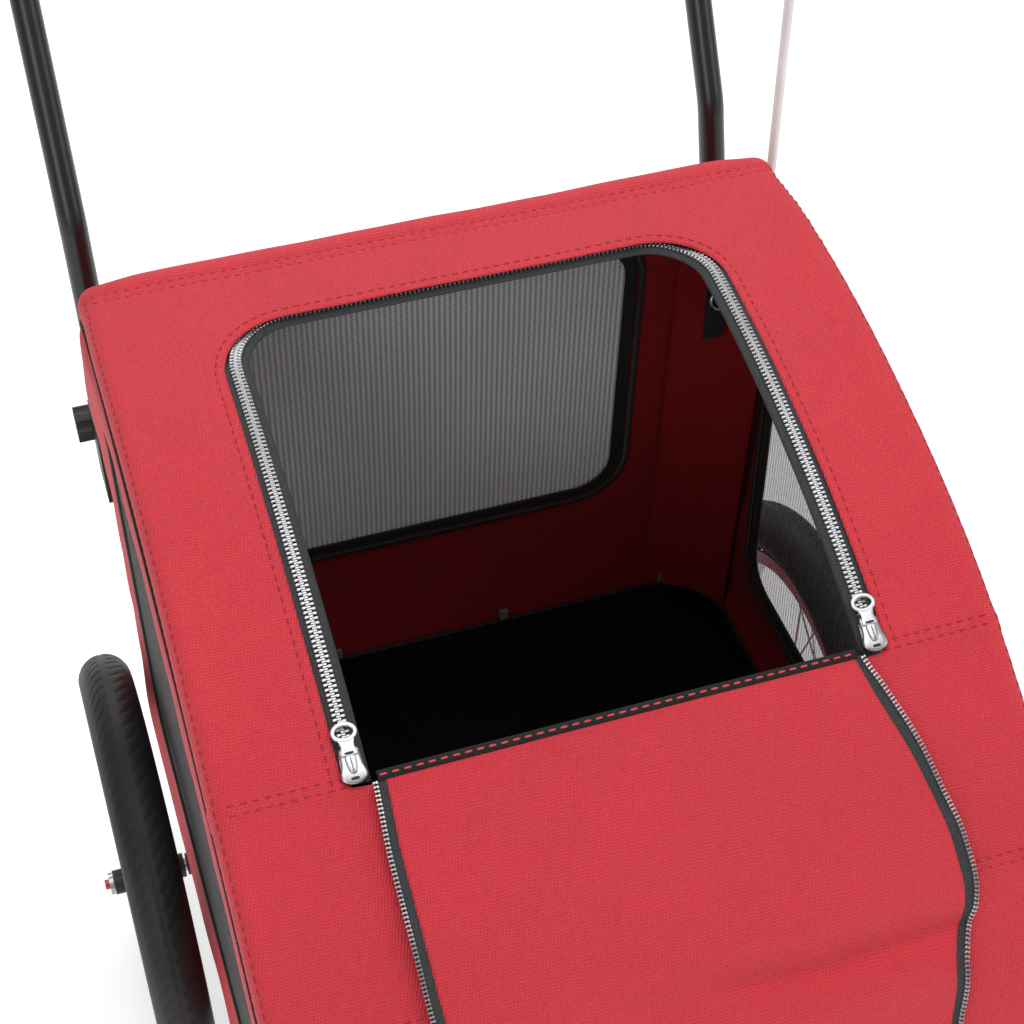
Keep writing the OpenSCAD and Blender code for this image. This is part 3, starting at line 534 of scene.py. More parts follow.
def rubber_finish(name, color=(0.011, 0.011, 0.0115)):
    """Tyre rubber: matt, dusty in patches, with a faint grain."""
    f = Finish(name, color, 0.56, Specular_IOR_Level=0.45)
    f.bump(f.noise(800, 3), 0.08 * MM, 0.6)
    f.roughen(f.noise(18, 4), 0.1)
    f.tint(f.noise(30, 4), 0.8, 1.35)
    return f.mat


rubber = rubber_finish("tyre rubber")


def board_finish():
    """Black-stained plywood: long wavering grain under a thin film."""
    f = Finish("stained board", (0.016, 0.013, 0.011), 0.5, Coat_Weight=0.2)
    grain = f.add("TexNoise", f.mapped((60, 3, 60), "Object"), Scale=2.4, Detail=6)
    f.bump(grain.outputs["Fac"], 0.25 * MM, 0.5)
    f.tint(grain.outputs["Fac"], 0.5, 1.9)
    return f.mat


stained_board = board_finish()


def mat_finish():
    """Black padded mat cloth with a small raised weave."""
    f = Finish("mat cloth", (0.0012, 0.0012, 0.0013), 0.95, Specular_IOR_Level=0.12)
    a, b = f.waves(3.2 * MM, 3.2 * MM)
    f.bump(f.math("MULTIPLY", a, b), 0.2 * MM, 0.5)
    f.tint(f.noise(14, 4), 0.7, 1.4)
    return f.mat


mat_cloth = mat_finish()
flag_cloth = woven_cloth("orange flag cloth", (0.85, 0.17, 0.02), 0.6, 0.9, 0.06, 0.2)


# ---------------------------------------------------------------- places on the cabin

def on_roof(u, s, lift=0.0):
    """A place on the cabin's sharp-edged skin. It runs level for the first stretch, then
    round the curve; past the side edges it drops straight down the cabin's side."""
    u, s, lift = np.broadcast_arrays(np.asarray(u, float), s, lift)
    x = np.clip(u, -HALF, HALF)
    lift = lift - np.abs(u - x)
    a = np.maximum(s - FLAT, 0) / BEND_R
    y = np.where(s < FLAT, REAR_Y - s, BEND_Y - (BEND_R + lift) * np.sin(a))
    z = np.where(s < FLAT, ROOF_Z + lift, BEND_Z + (BEND_R + lift) * np.cos(a))
    return np.stack([x, y, z], -1)


def rounded(p, height=0.0):
    """A point of the sharp-edged skin moved onto the cloth, which folds round the tubes: it
    goes to EDGE from the nearest point of the cabin shrunk by EDGE, and height further out.
    Returns the points and the way out at each."""
    c = np.array(p, float)
    c[..., 0] = np.clip(c[..., 0], -HALF + EDGE, HALF - EDGE)
    c[..., 2] = np.minimum(c[..., 2], ROOF_Z - EDGE)
    c[..., 1] = np.minimum(c[..., 1], REAR_Y + (ROOF_Z - c[..., 2]) * LEAN - EDGE)
    y, z = np.minimum(c[..., 1] - BEND_Y, 0), c[..., 2] - BEND_Z
    shrink = np.minimum(1, (BEND_R - EDGE) / np.hypot(y, z))
    curve = c[..., 1] < BEND_Y
    c[..., 1] = np.where(curve, BEND_Y + y * shrink, c[..., 1])
    c[..., 2] = np.where(curve, BEND_Z + z * shrink, c[..., 2])
    way = p - c
    way /= np.linalg.norm(way, axis=-1, keepdims=True)
    return c + (EDGE + PROUD + np.asarray(height)[..., None]) * way, way


def on_cloth(u, s, height=0.0):
    """Points height above the roof's rounded cloth at places u across and s along."""
    return rounded(on_roof(u, s), height)[0]


def frames(line):
    """Middle, forward, sideways and outward directions along a line of (u, s) places."""
    line = np.asarray(line, float)
    p, out = rounded(on_roof(line[:, 0], line[:, 1]))
    t = np.gradient(p, axis=0)
    t /= np.linalg.norm(t, axis=1, keepdims=True)
    side = np.cross(t, out)
    side /= np.linalg.norm(side, axis=1, keepdims=True)
    return p, t, side, np.cross(side, t)


def rounded_box_line(u0, s0, u1, s1, r):
    """The outline of a round-cornered rectangle, as four lines that meet in the middles of
    its corners: the s0 side from u0 to u1, then on round."""
    def corner(cu, cs, start):
        a = np.radians(np.linspace(start, start + 90, 25))
        return np.stack([cu + r * np.cos(a), cs + r * np.sin(a)], -1)
    corners = [corner(u0 + r, s0 + r, 180), corner(u1 - r, s0 + r, 270),
               corner(u1 - r, s1 - r, 0), corner(u0 + r, s1 - r, 90)]
    return [np.concatenate([corners[k][12:], corners[(k + 1) % 4][:13]]) for k in range(4)]


def ring_between(inner, outer, counts, rows, power=1.0):
    """A grid of places between two closed outlines, each given as four lines: row by row it
    moves from the inner outline to the outer one."""
    a = np.concatenate([resample(line, n, False) for line, n in zip(inner, counts)])
    b = np.concatenate([resample(line, n, False) for line, n in zip(outer, counts)])
    v = (np.linspace(0, 1, rows) ** power)[None, :, None]
    return a[:, None] * (1 - v) + b[:, None] * v, v[..., 0]


def bell(x, middle, width):
    """A smooth hump 1 high."""
    return np.exp(-((x - middle) / width) ** 2)


def ramped(x, x0, x1):
    """0 before x0, 1 after x1, and a smooth rise between."""
    t = np.clip((x - x0) / (x1 - x0), 0, 1)
    return t * t * (3 - 2 * t)


# ---------------------------------------------------------------- stitching

stitches = {}


def stitch(line, color="dark", body="frame", pitch=8.2 * MM, length=5.2 * MM, radius=0.55 * MM,
           height=0.0, place=None, over=None):
    """Notes a row of stitches along a line of places, to be sewn at the end. over gives how
    far the cloth there stands off its plain shape."""
    if place is None:
        places = spaced(resample(line, max(int(len(line)), 300)), pitch)
        p, t, side, out = frames(places)
        if over is not None:
            p = p + out * over(places[:, 0], places[:, 1])[:, None]
    else:
        p, t, side, out = place
    p = p + out * height
    shape, faces = thread(length, radius)
    made = repeat_shape(shape, faces, p, side, t, out)
    stitches.setdefault((color, body), []).append(made)


def flat_rows(points, out, pitch=8.2 * MM, height=0.0):
    """Frames of a row of stitches along a line in space, on a face whose way out is out."""
    p = spaced(points, pitch)
    t = np.gradient(p, axis=0)
    t /= np.linalg.norm(t, axis=1, keepdims=True)
    out = np.broadcast_to(np.asarray(out, float), p.shape)
    side = np.cross(t, out)
    side /= np.linalg.norm(side, axis=1, keepdims=True)
    return p + out * height, t, side, np.cross(side, t)


def sew():
    """Makes each colour of thread on each body one mesh."""
    threads = {"dark": dark_thread, "bright": bright_thread, "black": black_thread}
    for (color, body), rows in stitches.items():
        step = np.cumsum([0] + [len(p) for p, _ in rows])
        points = np.concatenate([p for p, _ in rows])
        faces = np.concatenate([f + k for (_, f), k in zip(rows, step)])
        build(f"stitches_{color}_{body}", points, faces, body, threads[color], slot="red_cloth")


# ---------------------------------------------------------------- the roof piece

SEAM_1, SEAM_2 = along(435 * MM), along(566 * MM)
EDGE_GAP = 8.5 * MM                 # from the zip's middle to the cloth's edge
REAR_GAP = 0.5 * MM                 # the same along the rear, where the cloth overhangs the zip
UNDER_X = 160 * MM                  # the zip's half distance under the flap
SLIDER_TOP, SLIDER_END = 430 * MM, 454 * MM
SEAM_HALF = 3.2 * MM                # half the distance between a seam's two rows


def roof_height(u, s):
    """How far the roof cloth stands off its plain shape: folded seams stand proud, stitched
    rows are drawn in, the cloth sags a little between the tubes and is a little uneven."""
    side = np.abs(u)
    seam = 0
    for at in (SEAM_1, SEAM_2):
        seam = seam + 0.9 * MM * (ramped(s, at - 7 * MM, at - 4 * MM)
                                  - ramped(s, at + 4 * MM, at + 12 * MM))
    for at in (SEAM_1 - SEAM_HALF, SEAM_1 + SEAM_HALF, SEAM_2 - SEAM_HALF, SEAM_2 + SEAM_HALF,
               14.5 * MM, 21 * MM):
        seam = seam - 0.55 * MM * bell(s, at, 1.8 * MM) * (1 + 0.5 * np.sin(u / (8.2 * MM) * 2 * PI))
    hem = np.where(s < SLIDER_END, side - ZIP_X - EDGE_GAP, 1.0)
    drawn = -0.5 * MM * bell(hem, 6.5 * MM, 2 * MM) * ramped(s, 0.07, 0.11)
    sag = -3.5 * MM * np.sin(PI * np.clip((s - 0.02) / 0.43, 0, 1)) ** 2 * bell(side, 0.235, 0.05)
    sag = sag - 3 * MM * np.sin(PI * np.clip((s - 0.46) / 0.5, 0, 1)) ** 2 * bell(side, 0.22, 0.06)
    rear = 7.0 * MM * bell(s, -4 * MM, 17 * MM) * (0.45 + 0.55 * ramped(HALF - side, 0, 0.05))
    sides = 3.0 * MM * bell(HALF - side, 0.004, 0.020) * ramped(s, 0, 0.08)
    drawn = drawn + rear + sides
    place = np.stack([u, s], -1)
    uneven = 0.9 * MM * lumps(place, 0.16, 3) + 0.35 * MM * lumps(place, 0.05, 4)
    quiet = ramped(HALF - side, 0, 0.02)
    pucker = 0.35 * MM * lumps(np.stack([u, s], -1), 0.018, 5) * bell(HALF - side, 0.004, 0.012)
    return seam + drawn + sag + uneven * quiet + pucker


def roof_cloth():
    """The roof piece: a ring of cloth round the opening, from the zip out to a hem that hangs
    down both sides. Its grid moves from the opening's outline to the piece's outline."""
    inner = rounded_box_line(-ZIP_X - EDGE_GAP, ZIP_REAR - REAR_GAP, ZIP_X + EDGE_GAP, ZIP_END,
                             ZIP_CORNER + (EDGE_GAP + REAR_GAP) / 2)
    bend = inner[1][inner[1][:, 1] < 0.2]
    near, far, x = SLIDER_END - 5 * MM, SLIDER_END + 2 * MM, UNDER_X + 6 * MM
    step = np.array([(ZIP_X + EDGE_GAP, near), (ZIP_X + EDGE_GAP - 2 * MM, near + 4 * MM),
                     (ZIP_X + 2 * MM, far), (x + 6 * MM, far + 1 * MM),
                     (x + 1.5 * MM, far + 3 * MM), (x, far + 8 * MM),
                     (x, ZIP_END - 14 * MM), (x - 4 * MM, ZIP_END - 4 * MM)])
    inner[1] = np.concatenate([bend, step])
    inner[2] = np.array([step[-1], (x - 14 * MM, ZIP_END), (14 * MM - x, ZIP_END), step[-1] * (-1, 1)])
    inner[3] = inner[1][::-1] * (-1, 1)
    u, s = HALF + SIDE_DROP, S_FRONT
    outer = [[(-u, 0), (u, 0)], [(u, 0), (u, s)], [(u, s), (-u, s)], [(-u, s), (-u, 0)]]
    grid, _ = ring_between(inner, outer, (130, 330, 90, 330), 44)
    u, s = grid[..., 0], grid[..., 1]
    height = roof_height(u, s)
    free = grid[:, :1]
    edge_dip = -0.7 * MM * np.exp(-np.linalg.norm(grid - free, axis=-1) / (2.2 * MM))
    p = on_cloth(u, s, height + edge_dip)
    sheet = sheet_piece("roof_cloth", p, RIM, "frame", [red_cloth, lining], grid, wrap=True,
                        slot="red_cloth", replaces=["roof_cover"])
    for at in (14.5 * MM, 21 * MM):
        stitch([(-HALF + 6 * MM, at), (HALF - 6 * MM, at)], over=roof_height)
    for side in (-1, 1):
        stitch([(side * (HALF - 1.2 * MM), at) for at in np.linspace(12 * MM, S_FRONT - 8 * MM, 200)],
               over=roof_height)
        stitch([(side * (HALF + SIDE_DROP - 4 * MM), at)
                for at in np.linspace(10 * MM, S_FRONT - 8 * MM, 200)], over=roof_height)
        for seam, start in ((SEAM_1, ZIP_X + 4 * MM), (SEAM_2, ZIP_X - 16 * MM)):
            for row in (-SEAM_HALF, SEAM_HALF):
                stitch([(side * start, seam + row), (side * (HALF - 5 * MM), seam + row)],
                       over=roof_height)
    hem = rounded_box_line(-ZIP_X - 15.5 * MM, ZIP_REAR - 8 * MM, ZIP_X + 15.5 * MM, ZIP_END + 8 * MM,
                           ZIP_CORNER + 13 * MM)
    hem = np.concatenate([hem[3], hem[0], hem[1]])
    hem = hem[hem[:, 1] < 0.3]
    ends = [(hem[0][0], SLIDER_END)], [(hem[-1][0], SLIDER_END)]
    stitch(np.concatenate([ends[0], hem, ends[1]]), over=roof_height)
    for side in (-1, 1):
        stitch([(side * (UNDER_X + 13 * MM), at)
                for at in np.linspace(SLIDER_END + 14 * MM, ZIP_END - 10 * MM, 60)], over=roof_height)
        name = "left" if side > 0 else "right"
        hem = on_cloth(np.full(260, side * (HALF + SIDE_DROP)),
                       np.linspace(3 * MM, S_FRONT - 4 * MM, 260), 0.2 * MM)
        sweep_piece(f"{name}_roof_piping", hem, circle(2.1 * MM, 10), (side, 0, 0), "frame", binding,
                    slot="tape")


roof_cloth()


# ---------------------------------------------------------------- side and rear walls

def wall_y(z):
    """Where the rear wall stands at a height."""
    return REAR_Y + (ROOF_Z - z) * LEAN


window_low, window_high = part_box("left_window")
BOUND = 12 * MM                     # width of the binding round a window
side_y = (window_low.y + BOUND / 2, window_high.y - BOUND / 2)
side_low = window_low.z + BOUND / 2
SIDE_R = 694 * MM                   # the side window's top edge keeps this far from the curve's centre
NET_CORNER = 40 * MM


def smooth_corners(corners, radii, steps=9):
    """The outline through some corners, each cut by a smooth bend that starts its radius
    away from the corner, as four lines that meet in the middles of the bends."""
    corners, bends = np.asarray(corners, float), []
    for k, (corner, radius) in enumerate(zip(corners, radii)):
        before, after = corners[k - 1] - corner, corners[(k + 1) % len(corners)] - corner
        a = corner + before / np.linalg.norm(before) * radius
        b = corner + after / np.linalg.norm(after) * radius
        t = np.linspace(0, 1, steps)[:, None]
        bends.append((1 - t) ** 2 * a + 2 * t * (1 - t) * corner + t ** 2 * b)
    half = steps // 2
    return [np.concatenate([bends[k][half:], bends[(k + 1) % 4][:half + 1]]) for k in range(4)]


def side_window_line(grow=0.0):
    """The side window's outline in (y, z): level below, upright behind, short in front, and
    along the roof's curve above."""
    y0, y1, z0 = side_y[0] - grow, side_y[1] + grow, side_low - grow
    r = SIDE_R + grow
    def top(y):
        return BEND_Z + math.sqrt(r * r - min(y - BEND_Y, 0) ** 2)
    lines = smooth_corners([(y1, top(y1)), (y1, z0), (y0, z0), (y0, top(y0))],
                           [34 * MM, NET_CORNER, NET_CORNER, 34 * MM])
    a = np.linspace(0, 1, 40)[:, None]
    start, first = lines[3][0], lines[3][-1]
    arc_y = start[0] + (first[0] - start[0]) * a[:, 0]
    chord = start[1] + (first[1] - start[1]) * a[:, 0]
    rise = np.array([top(y) for y in arc_y]) - np.interp(arc_y, [start[0], first[0]],
                                                          [top(start[0]), top(first[0])])
    lines[3] = np.stack([arc_y, chord + rise], -1)
    return lines


def side_outline():
    """The side panel's outline in (y, z), under the roof piece's hem."""
    r = BEND_R - SIDE_DROP + 3 * MM
    top = ROOF_Z - SIDE_DROP + 3 * MM
    a_front = math.acos((FLOOR_Z + 2 * MM - BEND_Z) / r)
    a = np.linspace(a_front, 0, 90)
    arc = np.stack([BEND_Y - r * np.sin(a), BEND_Z + r * np.cos(a)], -1)
    corner = (wall_y(top), top)
    low = (wall_y(FLOOR_Z), FLOOR_Z + 2 * MM)
    return [[corner, low], [low, tuple(arc[0])], arc[:30], np.concatenate([arc[29:], [corner]])]


def side_cloth(side, name):
    """A side panel: a ring of cloth round its window that bulges between them, most of all
    below the window, with shallow creases."""
    inner, outer = side_window_line(-1 * MM), side_outline()
    grid, v = ring_between(inner, outer, (70, 120, 50, 120), 30)
    y, z = grid[..., 0], grid[..., 1]
    p = np.stack([np.full_like(y, side * (HALF + 0.2 * MM)), y, z], -1)
    low = 1 - ramped(z, FLOOR_Z + 0.02, side_low + 0.05)
    r = np.where(y < BEND_Y, np.hypot(y - BEND_Y, z - BEND_Z), z - BEND_Z)
    under = ramped(BEND_R - SIDE_DROP - r, -2 * MM, 14 * MM)
    rear = 4 * MM * bell(z, 0.70, 0.07) * bell(y, REAR_Y - 0.02, 0.06)
    bulge = np.sin(PI * np.clip(v, 0, 1)) ** 1.2 * (3.5 * MM + 3 * MM * low) + rear
    crease = 0.8 * MM * lumps(grid, 0.09, 21 + side) * np.sin(PI * v)
    p = rounded(p, -1.9 * MM + (1.9 * MM + bulge + crease) * under)[0]
    if side < 0:
        p = p[::-1]
        grid = grid[::-1]
    sheet = sheet_piece(f"{name}_side_cloth", p, RIM, "frame", [red_cloth, lining], grid, wrap=True,
                        slot="red_cloth", replaces=[f"{name}_side_panel"])


def flat_place(side, yz, height=0.0):
    """Points on a side wall from (y, z)."""
    yz = np.asarray(yz, float)
    return np.stack([np.full(len(yz), side * (HALF + height)), yz[:, 0], yz[:, 1]], -1)


def net_piece(name, outline, place, normal, body, replaces, net):
    """A window net: a sheet that fills an outline, drawn in a little at its middle."""
    line = np.concatenate([resample(part, 40, False) for part in outline])
    middle = line.mean(0)
    v = np.linspace(0, 1, 24)[None, :, None]
    grid = middle + (line[:, None] - middle) * v
    sag = 2.0 * MM * (1 - v[..., 0] ** 2) + 0.5 * MM * lumps(grid, 0.12, 9) * (1 - v[..., 0])
    p = place(grid.reshape(-1, 2)).reshape(grid.shape[:2] + (3,)) - np.asarray(normal) * sag[..., None]
    if np.dot(np.cross(p[1, -1] - p[0, -1], p[0, -1] - p[0, 0]), normal) < 0:
        p, grid = p[::-1], grid[::-1]
    faces = grid_faces(p.shape[0], p.shape[1], True)
    back = p - 0.5 * MM * np.asarray(normal)
    count = p.shape[0] * p.shape[1]
    both, _, _ = closed(faces, count)
    both = both[~((both % p.shape[1] == 0).sum(1) == 4)]
    piece = build(name, np.concatenate([p.reshape(-1, 3), back.reshape(-1, 3)]), both, body, net,
                  uv=np.concatenate([grid.reshape(-1, 2)] * 2), merge=True, slot="window_mesh",
                  replaces=replaces)
    return piece


def bound_window(name, outline_of, place, normal):
    """The binding round a window: a folded tape over the cloth's edge on both faces, with a row of dark red
    stitches, and a nylon coil zip along its inside."""
    line = np.concatenate([resample(part, 60, False) for part in outline_of(0.0)])
    path = place(line)
    normal = np.asarray(normal, float)
    fold = strap_profile(BOUND, 3.6 * MM)
    sweep_piece(f"{name}_binding", path, fold, np.cross(tangent_ring(path), normal), "frame", binding,
                closed_path=True, slot="window_mesh")
    inside = place(np.concatenate([resample(part, 60, False) for part in outline_of(9.0 * MM)]))
    ridge = circle(3.0 * MM, 10, 0.62)
    sweep_piece(f"{name}_coil", inside - normal * 2.2 * MM, ridge, np.cross(tangent_ring(inside), normal),
                "frame", coil, closed_path=True, slot="window_mesh")
    outer = place(np.concatenate([resample(part, 200, False) for part in outline_of(10.5 * MM)]))
    stitch(None, "dark", place=flat_rows(outer, normal, height=-0.4 * MM))


def tangent_ring(path):
    """Directions along a closed path."""
    t = np.roll(path, -1, 0) - np.roll(path, 1, 0)
    return t / np.linalg.norm(t, axis=1, keepdims=True)


for side, name in ((1, "left"), (-1, "right")):
    side_cloth(side, name)
    at_side = lambda yz, side=side: flat_place(side, yz, 1.6 * MM)
    net_piece(f"{name}_net", side_window_line(-2 * MM), at_side, (side, 0, 0), "frame",
              [f"{name}_window"], shaded_side_net)
    bound_window(f"{name}_window", side_window_line, at_side, (side, 0, 0))

rear_low, rear_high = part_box("rear_window")
WALL_N = np.array([0, 1, LEAN]) / math.hypot(1, LEAN)


def rear_window_line(grow=0.0):
    """The rear window's outline in (x, height)."""
    g = grow - BOUND / 2
    return rounded_box_line(rear_low.x - g, rear_low.z - g, rear_high.x + g, rear_high.z + g,
                            NET_CORNER + grow)


def on_wall(xz, height=0.0):
    """Points on the rear wall from (x, height)."""
    xz = np.asarray(xz, float)
    p = np.stack([xz[..., 0], wall_y(xz[..., 1]), xz[..., 1]], -1)
    return p + height * WALL_N


def rear_cloth():
    """The rear panel: a ring of cloth round its window, folded round the cabin's edges."""
    inner = rear_window_line(-1 * MM)
    low = FLOOR_Z + 2 * MM
    outer = [[(-HALF, low), (HALF, low)], [(HALF, low), (HALF, ROOF_Z)],
             [(HALF, ROOF_Z), (-HALF, ROOF_Z)], [(-HALF, ROOF_Z), (-HALF, low)]]
    grid, v = ring_between(inner, outer, (100, 90, 100, 90), 36)
    p = on_wall(grid)
    puff = (2.5 * MM + 0.9 * MM * lumps(grid, 0.1, 31)) * np.sin(PI * v) ** 1.5
    p = rounded(p, puff)[0]
    sheet = sheet_piece("rear_cloth", p, RIM, "frame", [red_cloth, lining], grid, wrap=True,
                        slot="red_cloth", replaces=["rear_panel"])


rear_cloth()
net_piece("rear_net", rear_window_line(-2 * MM), lambda xz: on_wall(xz, 1.0 * MM), tuple(WALL_N),
          "frame", ["rear_window"], rear_net)
bound_window("rear_window", rear_window_line, lambda xz: on_wall(xz, 1.0 * MM), WALL_N)


# ---------------------------------------------------------------- the zip

FLAP_S0, FLAP_S1 = 455 * MM, 753 * MM
TEETH_PITCH = 3.5 * MM


def zip_line(g, end=SLIDER_END, count=24):
    """The zip's middle line moved g out from the opening: up the -X side, round the rear
    corners and down the +X side, as (u, s) places."""
    back = g + 7 * MM               # along the rear the zip is tucked under the cloth's edge
    c = ZIP_X - ZIP_CORNER
    a = np.radians(np.linspace(180, 270, count))
    left = np.stack([-c + (ZIP_CORNER + g) * np.cos(a),
                     ZIP_REAR + ZIP_CORNER + (ZIP_CORNER + back) * np.sin(a)], -1)
    right = left[::-1] * (-1, 1)
    return np.concatenate([[(-ZIP_X - g, end)], left, right, [(ZIP_X + g, end)]])


def tuck(s):
    """How far the zip sinks under the cloth along the rear, and not along the sides."""
    return -4.2 * MM * (1 - ramped(np.asarray(s, float), 0.082, 0.130))


def strip(name, lines, lift, thick, body, mats, slot, **more):
    """A flat ribbon on the roof through matched (u, s) lines side by side."""
    grid = np.stack([resample(line, 260) for line in lines], 1)
    p = on_cloth(grid[..., 0], grid[..., 1], np.asarray(lift) + tuck(grid[..., 1]))
    if np.dot(grid_normals(p)[130, 1], (0, 0, 1)) < 0:
        p = p[::-1]
    reach = np.stack(np.broadcast_arrays(np.linspace(0, 1.3, 260)[:, None],
                                         np.linspace(0, 0.012, len(lines))[None]), -1)
    piece = sheet_piece(name, p, thick, body, mats, reach, slot=slot, **more)
    declare(p)
    return piece


def tooth(reach=1.0):
    """One stamped tooth: a leg that grips the tape, a waist and a rounder head, bevelled."""
    half = [(-4.6, 0.70), (-4.0, 1.12), (-2.5, 1.12), (-1.6, 0.66), (-0.6, 0.66), (0.0, 0.93),
            (1.3, 0.93), (1.8, 0.45)]
    line = np.array(half + [(x, -y) for x, y in half[::-1]]) * (reach, 1)
    middle = line.mean(0)
    rings = [np.c_[line, np.full(len(line), -1.6)], np.c_[line, np.full(len(line), 0.9)],
             np.c_[middle + (line - middle) * (0.86, 0.62), np.full(len(line), 1.45)],
             np.c_[np.tile([middle[0], 0], (len(line), 1)), np.full(len(line), 1.5)]]
    p = np.concatenate([[np.c_[np.tile([middle[0], 0], (len(line), 1)), np.full(len(line), -1.6)]], rings])
    return p.reshape(-1, 3) * MM, grid_faces(len(p), len(line), False, True)[:, ::-1]


def tooth_rows(line, sides, pitch=TEETH_PITCH, lift=0.4 * MM):
    """Teeth along a (u, s) line: sides lists which way each row's heads point, +1 away from
    the line's left hand and -1 towards it. The second row is half a pitch on."""
    shape, faces = tooth()
    sets = []
    for k, way in enumerate(sides):
        places = spaced(resample(line, 2000), pitch, 0.5 + 0.5 * k)
        p, t, side, out = frames(places)
        p = p + out * (lift + tuck(places[:, 1]))[:, None]
        sets.append(repeat_shape(shape, faces, p, side * way, t * way, out))
    step = len(sets[0][0])
    points = np.concatenate([p for p, _ in sets])
    return points, np.concatenate([sets[0][1]] + [f + step for _, f in sets[1:]])


def zip_pieces():
    """Tapes and teeth on the cover: both halves round the opening down to the sliders, and
    the cover's own half on down each side under the flap."""
    strip("zip_tape_outer", [zip_line(g * MM) for g in (13.5, 9, 5, 2.0)],
          [[-3.4 * MM, -3.0 * MM, -2.4 * MM, -2.2 * MM]], 0.7 * MM, "frame", tape, "tape", replaces=["zip_tape"])
    strip("zip_tape_inner", [zip_line(-g * MM) for g in (2.0, 5, 8, 10.5)],
          [[-2.2 * MM, -2.3 * MM, -2.8 * MM, -3.6 * MM]], 0.7 * MM, "frame", tape, "tape")
    points, faces = tooth_rows(zip_line(0, SLIDER_TOP + 6 * MM), (1, -1), lift=-1.3 * MM)
    build("zip_teeth_rows", points, faces, "frame", zip_metal, slot="zip_metal", smooth=False,
          replaces=["zip_teeth"])
    for side, name in ((1, "left"), (-1, "right")):
        u = side * (UNDER_X + 2 * MM)
        line = np.array([(u, SLIDER_END + 10 * MM), (u, 640 * MM)])
        strip(f"{name}_under_tape", [line + (side * g * MM, 0) for g in (9, 6, 3, 0.5)], [[-3.2 * MM] * 4],
              0.7 * MM, "frame", tape, "tape")
        points, faces = tooth_rows(line, (-side,), lift=-2.6 * MM)
        build(f"{name}_under_teeth", points, faces, "frame", zip_metal, slot="zip_metal", smooth=False)


zip_pieces()


def plate(outlines, u, s, flip=1):
    """A solid through stacked outlines, each a list of (across, along, height) points in
    millimetres about the place (u, s) on the roof, closed over its first and last."""
    rings = [np.asarray(ring, float) for ring in outlines]
    caps = [np.tile(ring.mean(0), (len(ring), 1)) for ring in (rings[0], rings[-1])]
    p = np.stack([caps[0]] + rings + [caps[1]]) * MM
    return on_roof(u + flip * p[..., 0], s + p[..., 1], p[..., 2] + PROUD)


def plate_piece(name, outlines, u, s, body, mat, **more):
    """A closed plate built from its outlines and set on the roof."""
    p = plate(outlines, u, s)
    piece = build(name, p, grid_faces(p.shape[0], p.shape[1], False, True), body, mat, merge=True, **more)
    outward(piece)
    return piece


def outline_of(points, count=44):
    """A closed outline through half of it, mirrored across, evenly spaced."""
    half = np.array(points, float)
    both = np.concatenate([half, half[::-1][1:-1] * (-1, 1)]) if half[0][0] == 0 else \
        np.concatenate([half, half[::-1] * (-1, 1)])
    return resample(np.concatenate([both, both[:1]]), count, False)


def stacked(outline, levels):
    """Copies of an outline at some heights, each shrunk a little towards its middle."""
    middle = np.array([0, outline[:, 1].mean()])
    return [np.c_[middle + (outline - middle) * shrink, np.full(len(outline), height)]
            for height, shrink in levels]


